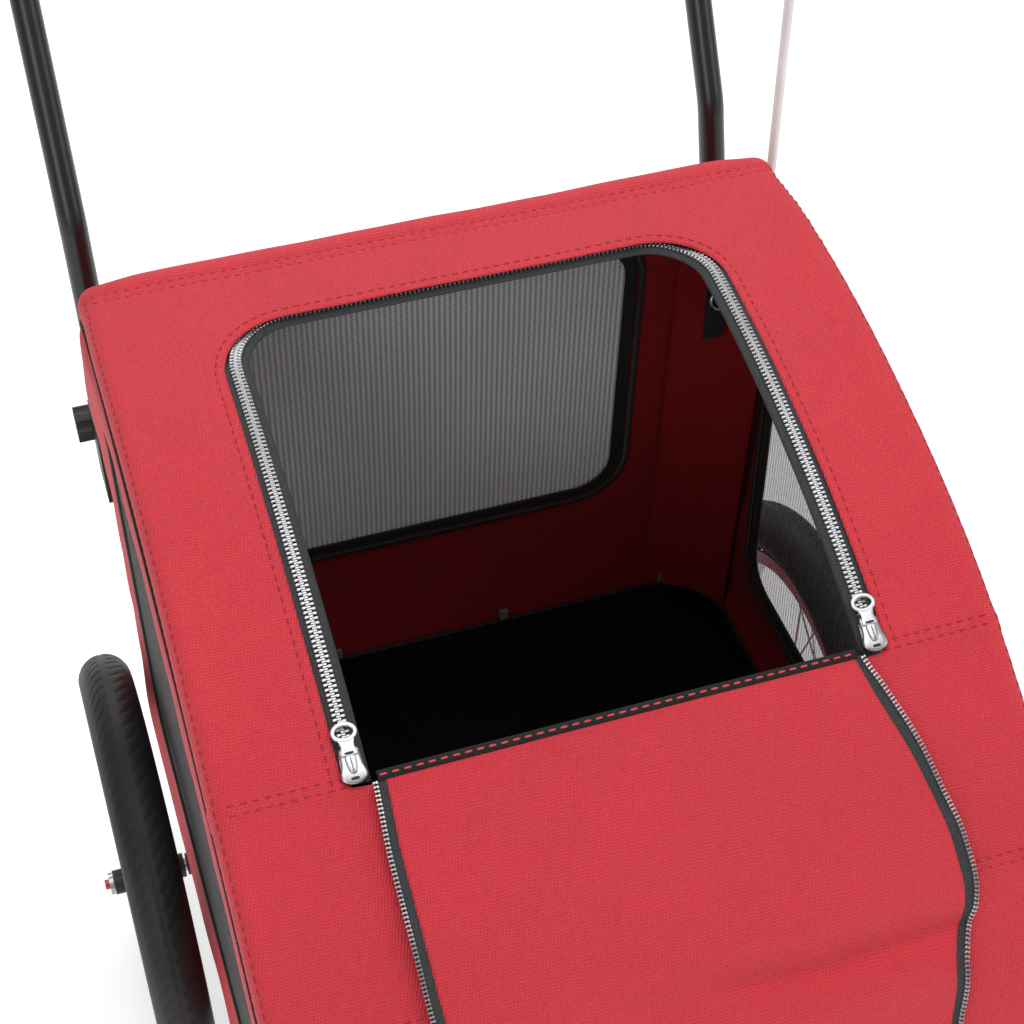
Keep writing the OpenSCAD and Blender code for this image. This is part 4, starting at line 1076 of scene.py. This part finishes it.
def slider_pieces(side, name):
    """A zip slider and its pull tab. The body is a shouldered plate over the teeth with a
    raised bridge; the tab hooks under the bridge and lies up the zip, ending in an oval ring."""
    slide, tab_body, u = f"{name}_slide", f"{name}_tab", side * ZIP_X
    s0 = 430.0 * MM
    body_line = outline_of([(0, 0), (5.2, 0), (6.9, 1.2), (6.6, 6), (7.2, 12), (8.9, 17), (9.1, 20),
                            (7.4, 22.4), (4.0, 23.9), (0, 24.5)])
    top = stacked(body_line, [(1.6, 0.93), (1.9, 1.0), (3.4, 1.0), (4.1, 0.95), (4.35, 0.86), (4.4, 0.4)])
    plate_piece(f"{name}_slider_top", top, u, s0, slide, slider_metal, slot="zip_metal",
                replaces=[f"{name}_zip_slider"])
    base = stacked(body_line, [(-5.6, 0.84), (-5.4, 0.92), (-4.6, 0.92), (-4.4, 0.86)])
    plate_piece(f"{name}_slider_base", base, u, s0, slide, slider_metal, slot="zip_metal")
    for way, part in ((1, "outer"), (-1, "inner")):
        wall = resample(np.array([(6.1, 3), (7.0, 3), (8.2, 17), (7.6, 20.5), (6.6, 20.5), (6.6, 12),
                                  (6.1, 3)]), 24, False)
        wall[:, 0] *= way
        rings = [np.c_[wall, np.full(24, h)] for h in (-5.0, 0, 2.0)]
        plate_piece(f"{name}_slider_{part}_flange", rings, u, s0, slide, slider_metal, slot="zip_metal")
    bridge = outline_of([(0, 5.4), (3.4, 5.8), (3.7, 8), (3.3, 13), (2.2, 17.2), (0, 18)], 36)
    plate_piece(f"{name}_slider_bridge",
                stacked(bridge, [(4.2, 1.0), (5.0, 1.0), (5.5, 0.95), (5.7, 0.84), (5.75, 0.4)]),
                u, s0, slide, slider_metal, slot="zip_metal")
    # Painted shade: black plates on the slider's metal top, where a narrow groove runs down the bridge and a slit
    # lies near its end.
    seam = outline_of([(0, 6.6), (0.32, 6.8), (0.32, 16.4), (0, 16.6)], 24)
    plate_piece(f"{name}_slider_seam_shade", stacked(seam, [(5.4, 1), (5.82, 1), (5.84, 0.9)]), u, s0, slide,
                black_plastic, slot="black_plastic")
    slit = outline_of([(0, 19.6), (2.6, 19.9), (3.0, 20.9), (2.6, 21.7), (0, 21.9)], 24)
    plate_piece(f"{name}_slider_slit_shade", stacked(slit, [(4.0, 1), (4.5, 1), (4.52, 0.9)]), u, s0, slide,
                black_plastic, slot="black_plastic")
    # the tab: from its hook under the bridge, a neck that widens into a ring
    t0 = -16.5
    neck = outline_of([(0, t0 + 11.4), (6.2, t0 + 10.6), (5.2, t0 + 13.2), (4.6, t0 + 16), (5.4, t0 + 19.4),
                       (5.9, t0 + 21.6), (5.5, t0 + 22.6), (0, t0 + 22.8)], 44)
    neck_rings = [np.c_[ring[:, :2], ring[:, 2] + 4.6] for ring in
                  stacked(neck, [(-0.75, 0.95), (-0.55, 1.0), (0.35, 1.0), (0.6, 0.95), (0.68, 0.85), (0.7, 0.4)])]
    plate_piece(f"{name}_tab_neck", neck_rings, u, s0, tab_body, slider_metal, slot="zip_metal",
                replaces=[f"{name}_pull_tab"])
    a = np.linspace(0, 2 * PI, 57)[:-1]
    oval = np.stack([7.5 * np.cos(a), t0 + 6.4 + 5.3 * np.sin(a)], -1)
    cross = strap_profile(3.3, 1.5, 4)
    way = np.stack([np.cos(a) / 7.5, np.sin(a) / 5.3], -1)
    way /= np.linalg.norm(way, axis=1, keepdims=True)
    ring = np.concatenate([oval[:, None] + way[:, None] * cross[None, :, :1],
                           np.broadcast_to(cross[None, :, 1:] + 4.6, (56, len(cross), 1))], -1) * MM
    p = on_roof(u + ring[..., 0], s0 + ring[..., 1], ring[..., 2] + PROUD)
    piece = build(f"{name}_tab_ring", p, grid_faces(56, len(cross), True, True), tab_body, slider_metal,
                  slot="zip_metal")
    outward(piece)
    # Painted shade: a black plate on the tab's face where its slot shows dark.
    slot_line = outline_of([(0, -0.9 + 8.6), (3.1, 8.9 - 0.9), (3.1, 10.3 - 0.9), (0, 10.6 - 0.9)], 24)
    slot_line[:, 1] -= 4.6
    rings = [np.c_[r[:, :2], r[:, 2]] for r in stacked(slot_line, [(4.6, 1), (5.36, 1), (5.38, 0.9)])]
    plate_piece(f"{name}_tab_slot_shade", rings, u, s0, tab_body, black_plastic, slot="black_plastic")


for side, name in ((1, "left"), (-1, "right")):
    slider_pieces(side, name)


# ---------------------------------------------------------------- the flap

# the flap's cloth edge, its teeth's line and their line on the far side: mm across and along
flap_cloth_edge = np.array([(165.0, 455), (172.0, 484), (179.5, 509), (187.0, 534), (192.8, 561),
                            (196.4, 590), (196.1, 622), (192.0, 643), (178.0, 662), (173.5, 689),
                            (166.0, 712), (160, 753)])
flap_teeth_edge = np.array([(171.0, 455), (180.0, 478), (188.4, 503), (195.0, 526), (200.6, 555),
                            (205.6, 582), (206.8, 606), (204.8, 626), (200.6, 643), (186.6, 662),
                            (182.0, 689), (173.5, 712), (166, 753)])
flap_teeth_far = np.array([(174.5, 455), (177.4, 503), (176.9, 557), (175.6, 612), (174.6, 650), (171.5, 690),
                           (169.0, 712), (164, 753)])


def edge_u(table, s):
    """The cloth's or teeth's place across, at a distance along, through a smoothed table."""
    s = np.asarray(s, float)
    out = 0
    for shift in (-8, -4, 0, 4, 8):
        out = out + np.interp(s / MM + shift, table[:, 1], table[:, 0])
    return out / 5 * MM


def flap_lift(u, s):
    """The flap's height over the roof: it lies 7 mm up along its edges, bellies up in the
    middle, has a fold across it that runs in from the +X edge, and comes down to its seam."""
    across = np.clip(u / (190 * MM), -1.1, 1.1)
    t = (s - FLAP_S0) / (FLAP_S1 - FLAP_S0)
    belly = 8.5 * MM * (1 - np.clip(across ** 2, 0, 1))
    belly = belly * (0.35 + 0.65 * np.sin(PI * np.clip(t * 1.15 + 0.08, 0, 1)))
    rise = 6.5 * MM
    reach = ramped(u, -75 * MM, 90 * MM)
    line = 647 * MM - 14 * MM * (1 - reach)
    crease = -6.0 * MM * bell(s, line, 9 * MM) * reach
    roll = 5.5 * MM * bell(s, line - 27 * MM, 20 * MM) * reach
    roll = roll + 3.5 * MM * bell(s, line + 26 * MM, 18 * MM) * reach
    long_folds = 1.6 * MM * np.sin((s / 0.085 + u / 0.55) * 2 * PI)
    long_folds = long_folds * ramped(t, 0.15, 0.4) * (1 - ramped(t, 0.8, 1))
    place = np.stack([u, s], -1)
    uneven = 0.9 * MM * lumps(place, 0.11, 41) + 0.3 * MM * lumps(place, 0.035, 42)
    down = 1 - ramped(s, 700 * MM, 748 * MM)
    return 0.6 * MM + (rise + belly + crease + roll + long_folds + uneven) * down + 1.5 * MM * (1 - down)


def flap_pieces():
    """The opened flap: red cloth between taped and toothed edges, with a bound hem on top."""
    s = np.linspace(FLAP_S0, FLAP_S1, 120)
    t = np.linspace(-1, 1, 130)
    right, left = edge_u(flap_cloth_edge, s), -edge_u(flap_teeth_far, s) + 8.2 * MM
    u = (right + left)[:, None] / 2 + (right - left)[:, None] / 2 * t
    grid = np.stack([u, np.broadcast_to(s[:, None], u.shape)], -1)
    height = flap_lift(u, grid[..., 1])
    edge = np.minimum(1 - t, 1 + t)[None] * 180 * MM
    height = height - 0.6 * MM * np.exp(-edge / (2 * MM)) - 0.5 * MM * bell(edge, 6 * MM, 2 * MM)
    p = on_cloth(grid[..., 0], grid[..., 1], height)
    way = np.dot(grid_normals(p)[60, 60], (0, 0, 1)) > 0
    if not way:
        p, grid = p[:, ::-1], grid[:, ::-1]
    start = tuple(on_roof(0, FLAP_S1)[()])
    end = tuple(on_roof(0, 712 * MM)[()])
    cloth = sheet_piece("flap_cloth", p, RIM, "door_flap", [red_cloth, lining], grid, slot="red_cloth",
                        replaces=["flap"])
    cloth.parent = None
    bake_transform(cloth)
    for side, table, name in ((1, flap_teeth_edge, "left"), (-1, flap_teeth_far, "right")):
        s = np.linspace(FLAP_S0 + (0 if side > 0 else 1 * MM), 712 * MM, 160)
        teeth = side * edge_u(table, s)
        edge = edge_u(flap_cloth_edge, s) if side > 0 else -edge_u(table, s) + 8.2 * MM
        w = np.linspace(0, 1, 4)[None]
        u = (edge - side * 1.5 * MM)[:, None] * (1 - w) + (teeth - side * 0.6 * MM)[:, None] * w
        grid = np.stack([u, np.broadcast_to(s[:, None], u.shape)], -1)
        lift = flap_lift(grid[..., 0], grid[..., 1])
        p = on_cloth(grid[..., 0], grid[..., 1], lift - 0.9 * MM)
        map_uv = np.stack(np.broadcast_arrays(s[:, None], w * 0.012), -1)
        if np.dot(grid_normals(p)[80, 1], (0, 0, 1)) < 0:
            p, map_uv = p[:, ::-1], map_uv[:, ::-1]
        piece = sheet_piece(f"{name}_flap_tape", p, 0.7 * MM, "door_flap", tape, map_uv, slot="tape")
        declare(p)
        line = np.stack([teeth, s], -1)
        line = spaced(resample(line, 1200), TEETH_PITCH * 0.8)
        lifted = on_cloth(line[:, 0], line[:, 1], flap_lift(line[:, 0], line[:, 1]) - 0.6 * MM)
        _, _, _, out = frames(line)
        t3 = np.gradient(lifted, axis=0)
        t3 /= np.linalg.norm(t3, axis=1, keepdims=True)
        across = np.cross(t3, out)
        across /= np.linalg.norm(across, axis=1, keepdims=True)
        heads = 1 if np.dot(across[40], (side, 0, 0)) > 0 else -1
        shape, faces = tooth(0.62)
        points, faces = repeat_shape(shape, faces, lifted, across * heads, t3 * heads, np.cross(across, t3))
        build(f"{name}_flap_teeth", points, faces, "door_flap", zip_metal, slot="zip_metal", smooth=False)
    # the hem over the flap's free edge
    u = np.linspace(-171.5 * MM, 167 * MM, 200)
    s = np.full(200, FLAP_S0 - 2.0 * MM)
    grid_u = np.repeat(u[:, None], 6, 1)
    grid_s = s[:, None] + np.array([3.8, 2.6, 0.9, -0.9, -2.4, -3.2])[None] * MM
    lift = flap_lift(u, np.full(200, FLAP_S0))[:, None]
    lift = lift + np.array([0.35, 0.8, 0.9, 0.6, -0.3, -1.4])[None] * MM
    p = on_cloth(grid_u, grid_s, lift)
    map_uv = np.stack([grid_u, grid_s], -1)
    if np.dot(grid_normals(p)[100, 2], (0, 0, 1)) < 0:
        p, map_uv = p[::-1], map_uv[::-1]
    hem = sheet_piece("flap_hem", p, 1.0 * MM, "door_flap", binding, map_uv, slot="tape")
    declare(p)
    row = np.stack([u, s + 0.2 * MM], -1)
    places = spaced(row, 8.2 * MM)
    lift = flap_lift(places[:, 0], np.full(len(places), FLAP_S0)) + 0.95 * MM
    middle = on_cloth(places[:, 0], places[:, 1], lift)
    _, t3, across, out = frames(places)
    stitch(None, "bright", "door_flap", radius=0.75 * MM, place=(middle, t3, across, out))


flap_pieces()


# ---------------------------------------------------------------- inside of the cabin

def corner_lining(side, name):
    """The lining that runs across a rear corner in front of the upright, from the side wall
    to the rear wall."""
    z = np.linspace(FLOOR_Z + 5.5 * MM, ROOF_Z - 20 * MM, 60)
    t = np.linspace(0, 1, 18)[None]
    x = (1 - t) ** 2 * 1.8 + 2 * t * (1 - t) * 22 + t ** 2 * 66
    ahead = (1 - t) ** 2 * 52 + 2 * t * (1 - t) * 18 + t ** 2 * 2.2
    place = np.stack(np.broadcast_arrays(z[:, None], t * 0.06), -1)
    pinch = 1.2 * MM * lumps(place, 0.14, 50 + side) * np.sin(PI * t)
    p = np.stack(np.broadcast_arrays(side * (HALF - x * MM + pinch), wall_y(z)[:, None] - ahead * MM + 0 * x,
                                     z[:, None] + 0 * x), -1)
    if side > 0:
        p = p[::-1]
    if np.dot(grid_normals(p)[30, 9], (-side, -1, 0)) < 0:
        p = p[::-1]
    piece = sheet_piece(f"{name}_corner_lining", p, RIM, "frame", [lining, lining], grid_uv(p),
                        slot="red_cloth")
    declare(p)
    # Painted shade: a black strip down the side wall behind the window, the dark line along a fold in the lining.
    z = np.linspace(412, 550, 120) * MM
    at = np.stack([np.full(120, side * (HALF - 2.0 * MM)), wall_y(z) - 58 * MM, z], -1)
    sweep_piece(f"{name}_lining_slit_shade", at, strap_profile(4.5 * MM, 1.4 * MM), (0, 1, 0), "frame",
                black_thread, slot="red_cloth")


def floor_cloth():
    """The cabin's floor cloth, laid on the board under the mat and turned up at the walls."""
    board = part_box("floor_board")
    x, y = np.meshgrid(np.linspace(-HALF, HALF, 60), np.linspace(board[0].y, wall_y(FLOOR_Z), 80),
                       indexing="ij")
    edge = np.minimum(HALF - np.abs(x), wall_y(FLOOR_Z) - y)
    z = board[1].z + 0.35 * MM + 3.0 * MM * np.exp(-edge / (5 * MM))
    p = np.stack([x, y, z], -1)
    piece = sheet_piece("floor_cloth", p, 0.3 * MM, "frame", [lining, lining], p[..., :2], slot="red_cloth")
    declare(p)


floor_cloth()


def sleeve(name, path, radius, side=(1, 0, 0)):
    """A cloth sleeve round a tube."""
    sweep_piece(name, path, circle(radius, 20), side, "frame", lining, slot="red_cloth")


for side, name in ((1, "left"), (-1, "right")):
    corner_lining(side, name)
    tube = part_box(f"{name}_side_hoop")
    mid = (tube[0].x + tube[1].x) / 2
    a = np.linspace(0.03, math.radians(64), 80)
    r = BEND_R - 12.7 * MM
    path = np.stack([np.full(80, mid), BEND_Y - r * np.sin(a), BEND_Z + r * np.cos(a)], -1)
    path = np.concatenate([[(mid, REAR_Y - 30 * MM, ROOF_Z - 12.7 * MM)], path])
    sleeve(f"{name}_hoop_sleeve", path, 10.9 * MM)

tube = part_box("rear_top_tube")
mid_y, mid_z = (tube[0].y + tube[1].y) / 2, (tube[0].z + tube[1].z) / 2
x = np.linspace(-HALF + 24 * MM, HALF - 24 * MM, 50)
sleeve("rear_tube_sleeve", np.stack([x, np.full(50, mid_y), np.full(50, mid_z)], -1), 10.9 * MM, (0, 1, 0))


def rounded_mat():
    """The floor mat: a thin stuffed pad with round corners at the rear, its top a little
    crowned and uneven, with a bound edge."""
    y1, y0 = MAT_HIGH.y - 3 * MM, MAT_LOW.y + 3 * MM
    x1 = MAT_HIGH.x - 4 * MM
    line = rounded_box_line(-x1, y0, x1, y1, 60 * MM)
    ring = np.concatenate([resample(part, 70, False) for part in line])
    middle = np.array([0, (y0 + y1) / 2])
    v = np.array([0, .12, .24, .36, .48, .6, .7, .8, .87, .92, .95, .97, .985, .995, 1.0])
    grid = middle + (ring[:, None] - middle) * v[None, :, None]
    away = (1 - v)[None] * 0.28
    top, low = MAT_HIGH.z, MAT_LOW.z + 0.4 * MM
    crown = (top - low) * (0.62 + 0.36 * (1 - np.exp(-away / 0.03)))
    crown = crown + 0.9 * MM * lumps(grid, 0.14, 61) * (1 - v[None] ** 6)
    crown[:, -1] = 0.5 * (top - low)
    upper = np.concatenate([grid, (low + crown)[..., None]], -1)
    under = np.concatenate([grid, np.full(grid.shape[:2] + (1,), low)], -1)[:, ::-1][:, 1:]
    p = np.concatenate([upper, under], 1)
    piece = build("mat_pad", p, grid_faces(p.shape[0], p.shape[1], True), "frame", mat_cloth,
                  uv=np.concatenate([grid, grid[:, ::-1][:, 1:]], 1), merge=True, slot="mat",
                  replaces=["floor_mat"])
    outward(piece)
    edge = np.concatenate([ring, np.full((len(ring), 1), low + 0.5 * (top - low))], 1)
    sweep_piece("mat_piping", edge, circle(3.1 * MM, 10), np.cross(tangent_ring(edge), (0, 0, 1)), "frame",
                binding, closed_path=True, slot="mat")
    for k, x in enumerate((-101, 65, 229)):
        loop(f"mat_loop_{k + 1}", (x * MM, y1 + 1.5 * MM, top - 4 * MM), (0, 1, 0))
    for k, side in enumerate((1, -1)):
        loop(f"mat_loop_{k + 4}", (side * (x1 + 0.5 * MM), REAR_Y + 11 * MM, top - 4 * MM), (side, 0, 0))


def loop(name, at, way):
    """A short webbing loop that stands out of the mat's edge and turns up the wall."""
    way = np.asarray(way, float)
    t = np.linspace(0, 1, 14)
    up, out = 13 * MM * np.sin(t * PI), 3.0 * MM * (1 - np.cos(t * PI)) / 2
    path = np.asarray(at) - way * (5 * MM) + way * out[:, None] + np.array([0, 0, 1]) * up[:, None]
    sweep_piece(name, path, strap_profile(9 * MM, 1.6 * MM), np.cross(way, (0, 0, 1)), "frame", loop_tape,
                slot="webbing")


rounded_mat()


def tether():
    """The leash strap that hangs in the rear corner, doubled over a metal ring, with a keeper strap."""
    low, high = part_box("leash_tether")
    x = (low.x + high.x) / 2
    z = np.linspace(high.z, high.z - 134 * MM, 40)
    y = low.y + 3 * MM + 1.2 * MM * np.sin((z - z[0]) / 0.05)
    path = np.stack([np.full(40, x), y, z], -1)
    path = np.concatenate([path, path[-1:] + np.array([(0, 0.4, -4), (0, 1.2, -7)]) * MM])
    sweep_piece("tether_strap", path, strap_profile(19 * MM, 2.6 * MM), (1, 0, 0), "frame", strap,
                slot="webbing", replaces=["leash_tether"])
    a = np.linspace(0, 2 * PI, 41)[:-1]
    centre = np.array([x, y[28] - 4.6 * MM, z[28]])
    ring = centre + np.stack([6.5 * MM * np.cos(a), 2.6 * MM * np.sin(a), 6.5 * MM * np.sin(a)], -1)
    sweep_piece("tether_ring", ring, circle(1.3 * MM, 10), np.cross(tangent_ring(ring), (0, 1, 0)), "frame",
                slider_metal, closed_path=True, slot="zip_metal")
    keeper = np.array([(x, y[22] - 1.2 * MM, z[22] - 2 * MM), (x, y[24] - 3.6 * MM, z[24] - 2 * MM),
                       (x, y[26] - 5.2 * MM, z[26] - 3 * MM), (x, y[29] - 3.4 * MM, z[29] - 1 * MM),
                       (x, y[30] - 1.2 * MM, z[30])])
    sweep_piece("tether_keeper", resample(keeper, 24), strap_profile(9 * MM, 1.6 * MM), (1, 0, 0),
                "frame", strap, slot="webbing")
    box_row = np.array([(x - 7 * MM, y[5] - 1.4 * MM, z[5]), (x + 7 * MM, y[5] - 1.4 * MM, z[5])])
    stitch(None, "bright", place=flat_rows(box_row, (0, -1, 0), 4 * MM))


tether()


# ---------------------------------------------------------------- reflectors, wheels, grip and flag

def reflectors():
    """Two round red reflectors on the rear wall, each a lens in a black cup."""
    low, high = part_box("rear_reflectors")
    radius, z = (high.z - low.z) / 2, (high.z + low.z) / 2
    for side, name in ((1, "left"), (-1, "right")):
        centre = np.array([side * (high.x - radius), wall_y(z), z]) + WALL_N * 7.0 * MM
        r = radius / MM
        cup = [(0, -1.8), (r, -1.8), (r + 0.1, -1.2), (r, 3.2), (r - 0.8, 4.0), (r - 2.0, 4.1),
               (r - 2.2, 3.2), (r - 2.3, 2.0), (0, 2.0)]
        lens_profile = [(0, 2.1), (r - 2.4, 2.1), (r - 2.4, 3.4), (r - 3.4, 4.2), (12, 4.9), (6, 5.2),
                        (0, 5.3)]
        for part, profile, mat, more in (
                ("cup", cup, black_plastic, dict(slot="black_plastic")),
                ("lens", lens_profile, reflector_red,
                 dict(slot="red_plastic", replaces=["rear_reflectors"]))):
            flat = turned(np.array(profile) * MM, 64, (0, 0, 0), 1)
            x, out, up = flat[..., 0], flat[..., 1], flat[..., 2]
            across = np.cross(WALL_N, (1, 0, 0))
            p = centre + x[..., None] * np.array([1, 0, 0]) + out[..., None] * WALL_N
            p = p + up[..., None] * across
            piece = build(f"{name}_reflector_{part}", p, grid_faces(64, len(profile), True, False),
                          "frame", mat, merge=True, **more)
            outward(piece)


reflectors()


def tyre_piece(name, body, tread_pitch, grooves):
    """A tyre: a round casing with a slick-shouldered tread of fine slanting grooves and two
    thin rings moulded on each side wall, with beads at the rim."""
    low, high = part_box(name)
    centre = (np.array(low) + np.array(high)) / 2
    outer, half = (high.z - low.z) / 2, (high.x - low.x) / 2
    tube = half
    ring = outer - tube
    count, steps = int(2 * PI * outer / (1.6 * MM) / 2) * 2, 60
    around = np.arange(count) / count * 2 * PI
    open_by = math.radians(38)
    b = np.linspace(-PI + open_by, PI - open_by, steps)
    groove = np.clip(np.abs(b) / math.radians(52), 0, 1)
    slant = around[:, None] * outer / tread_pitch + np.sign(b)[None] * (b[None] / math.radians(52)) ** 2 * 1.6
    cut = (0.5 + 0.5 * np.cos(slant * 2 * PI)) ** 12 * (1 - groove[None] ** 6)
    cut = cut * ramped(np.abs(b), 0.10, 0.2)[None]
    centre_groove = bell(b, 0, 0.05)[None]
    shoulder = bell(np.abs(b), math.radians(58), 0.05) + bell(np.abs(b), math.radians(92), 0.03) * 0.7
    r = tube - grooves * cut - grooves * 0.8 * centre_groove - 0.35 * MM * shoulder[None]
    radius = ring + r * np.cos(b)
    offset = r * np.sin(b)
    inside = tube - 3.2 * MM
    r2 = ring + inside * np.cos(b[::-1])
    o2 = inside * np.sin(b[::-1])
    radius = np.concatenate([radius, np.broadcast_to(r2, (count, steps))[:, ::4]], 1)
    offset = np.concatenate([offset, np.broadcast_to(o2, (count, steps))[:, ::4]], 1)
    p = np.stack([offset, radius * np.cos(around)[:, None], radius * np.sin(around)[:, None]], -1) + centre
    piece = build(f"{name}_rubber", p, grid_faces(count, p.shape[1], True, True), body, rubber, uv=grid_uv(p),
                  slot="tyre", replaces=[name])
    outward(piece)


tyre_piece("left_tyre", "left_wheel", 15 * MM, 1.0 * MM)
tyre_piece("right_tyre", "right_wheel", 15 * MM, 1.0 * MM)
tyre_piece("front_tyre", "front_roller", 11 * MM, 0.8 * MM)


def valve(name):
    """A tyre valve with its dust cap, standing inwards from the rim."""
    low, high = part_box(f"{name}_rim")
    centre = (np.array(low) + np.array(high)) / 2
    inner = (high.z - low.z) / 2 - 9 * MM
    profile = np.array([(0, 2), (3.4, 2), (3.4, -2), (2.6, -3), (2.6, -16), (3.1, -17), (3.1, -27),
                        (2.2, -28.5), (0, -28.5)])
    flat = turned(profile * MM, 20, (0, 0, 0), 2)
    p = flat + centre + (0, 0, inner)
    piece = build(f"{name}_valve", p, grid_faces(20, len(profile), True, False), f"{name}_wheel",
                  black_plastic, merge=True, slot="black_plastic")
    outward(piece)


for name in ("left", "right"):
    valve(name)


def grip_piece():
    """The foam grip on the handle: a soft tube with rounded ends, faint moulded rings near
    them and a slightly uneven surface."""
    low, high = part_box("handle_grip")
    y, z, r = (low.y + high.y) / 2, (low.z + high.z) / 2, (high.z - low.z) / 2
    x = np.linspace(low.x, high.x, 260)
    end = np.minimum(x - low.x, high.x - x)
    rings = bell(end, 14 * MM, 1.3 * MM) + bell(end, 20 * MM, 1.3 * MM)
    size = r * (1 - 0.16 * np.exp(-end / (1.6 * MM))) - 0.5 * MM * rings
    a = np.arange(48) / 48 * 2 * PI
    grid = np.stack(np.broadcast_arrays(x[:, None], a[None] * r), -1)
    size = size[:, None] + 0.25 * MM * lumps(grid, 0.05, 71)
    p = np.stack([np.repeat(x[:, None], 48, 1), y + size * np.cos(a), z + size * np.sin(a)], -1)
    caps = [np.repeat(np.array([[[at, y, z]]]), 48, 1) for at in (x[0], x[-1])]
    p = np.concatenate([caps[0], p, caps[1]])
    piece = build("grip_foam", p, grid_faces(p.shape[0], 48, False, True), "handle", foam,
                  uv=grid_uv(p), merge=True, slot="foam", replaces=["handle_grip"])
    outward(piece)


grip_piece()


def pennant_piece():
    """The flag: a tapering cloth with ripples that grow away from the pole, and a hem sewn
    round the pole."""
    low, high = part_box("pennant")
    pole_low, pole_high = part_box("flag_pole")
    x0 = (pole_low.x + pole_high.x) / 2
    y0 = (pole_low.y + pole_high.y) / 2
    length = high.y - y0
    z_mid, tall = (high.z + low.z) / 2, high.z - low.z
    t = np.linspace(0, 1, 70)[:, None]
    w = np.linspace(-1, 1, 44)[None]
    z = z_mid + tall / 2 * w * (1 - 0.97 * t) - 6 * MM * t
    y = y0 + 4.6 * MM + (length - 6 * MM) * t + 0 * w
    ripples = 5.5 * MM * np.sin(t * 2.6 * PI + 0.5 * w) + 1.5 * MM * np.sin(t * 7 * PI + 2 * w)
    x = x0 + ripples * ramped(t, 0, 0.35)
    p = np.stack(np.broadcast_arrays(x, y, z), -1)
    flag = sheet_piece("flag_sheet", p, 0.5 * MM, "flag", [flag_cloth, flag_cloth], grid_uv(p),
                       slot="flag_cloth", replaces=["pennant"])
    profile = np.array([(4.3, 0), (5.3, 0.5), (5.3, tall / MM - 0.5), (4.3, tall / MM)])
    hem = turned(profile * MM, 28, (x0, y0, low.z), 2)
    piece = build("flag_hem", hem, grid_faces(28, 4, True, True), "flag", flag_cloth, uv=grid_uv(hem),
                  slot="flag_cloth")
    outward(piece)
    row = np.stack([np.full(60, x0 + 0.65 * MM), np.full(60, y0 + 8.5 * MM),
                    np.linspace(low.z + 5 * MM, high.z - 5 * MM, 60)], -1)
    stitch(None, "dark", "flag", radius=0.3 * MM, place=flat_rows(row, (1, 0, 0), 5 * MM))


pennant_piece()


# ---------------------------------------------------------------- finishes on the CAD pieces

sew()

by_slot = {
    "frame_tube": black_coat, "bracket": grey_coat, "board": stained_board, "mat": mat_cloth,
    "red_cloth": red_cloth, "window_mesh": shaded_side_net, "tape": tape, "zip_metal": zip_metal,
    "webbing": strap, "red_plastic": button_red, "tyre": rubber, "rim": rim_metal,
    "spoke": spoke_steel, "hub": hub_plastic, "axle_steel": steel, "black_plastic": black_plastic,
    "foam": foam, "pole": pole_finish, "flag_cloth": flag_cloth,
}
for name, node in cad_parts.items():
    slot_name = node.data.materials[0].name.split(".")[0] if node.data.materials else "bracket"
    finish = reflector_red if "reflector" in name else by_slot[slot_name]
    node.data.materials.clear()
    node.data.materials.append(finish)
    if slot_name not in ("board", "red_cloth", "mat", "window_mesh"):
        edge = node.modifiers.new("Smooth", "EDGE_SPLIT")
        edge.split_angle = math.radians(28)
        node.data.polygons.foreach_set("use_smooth", np.ones(len(node.data.polygons), bool))


# ---------------------------------------------------------------- floor, light and camera

def floor_piece():
    """A wide flat pale floor that reaches far away, its grid closer near the middle."""
    t = np.sign(np.linspace(-1, 1, 41)) * np.abs(np.linspace(-1, 1, 41)) ** 3 * 40
    x, y = np.meshgrid(t, t, indexing="ij")
    p = np.stack([x, y, np.full_like(x, -0.001)], -1)
    f = Finish("pale floor", (0.86, 0.86, 0.86), 0.7)
    f.tint(f.noise(1.5, 2), 0.99, 1.01)
    f.shader.inputs["Emission Color"].default_value = (1, 1, 1, 1)
    f.shader.inputs["Emission Strength"].default_value = 0.5
    piece = build("floor", p, grid_faces(41, 41), None, f.mat)


def soft_light(name, place, target, size, power):
    """A wide rectangular lamp at a place, turned to face the target."""
    data = bpy.data.lights.new(name, "AREA")
    data.shape, data.size, data.size_y = "RECTANGLE", size[0], size[1]
    data.energy = power
    light = bpy.data.objects.new(name, data)
    bpy.context.scene.collection.objects.link(light)
    light.location = place
    way = Vector(target) - Vector(place)
    light.rotation_euler = way.to_track_quat("-Z", "Y").to_euler()


floor_piece()
soft_light("top_light", (0.2, 0.1, 3.2), (0, 0.1, 0.6), (2.6, 2.6), 44)
soft_light("left_light", (-2.1, -2.5, 2.4), (0, 0.1, 0.5), (1.6, 2.2), 26)
soft_light("right_light", (2.8, -1.4, 2.0), (0, 0.1, 0.5), (1.4, 2.0), 14)
soft_light("rear_light", (0.4, 3.4, 2.6), (0, 0.3, 0.6), (2.2, 1.4), 42)

scene = bpy.context.scene
world = bpy.data.worlds.new("soft studio")
scene.world = world
world.use_nodes = True
backdrop = world.node_tree.nodes["Background"]
backdrop.inputs["Color"].default_value = (1, 1, 1, 1)
backdrop.inputs["Strength"].default_value = 0.34
scene.view_settings.view_transform = "Standard"

lens = bpy.data.cameras.new("main_camera")
lens.lens, lens.sensor_width = 72.39, 36
camera = bpy.data.objects.new("main_camera", lens)
scene.collection.objects.link(camera)
camera.location = (-0.34175, REAR_Y - 1.24823, 1.74893)
camera.rotation_euler = (math.radians(44.95), 0, math.radians(-17.98))
scene.camera = camera
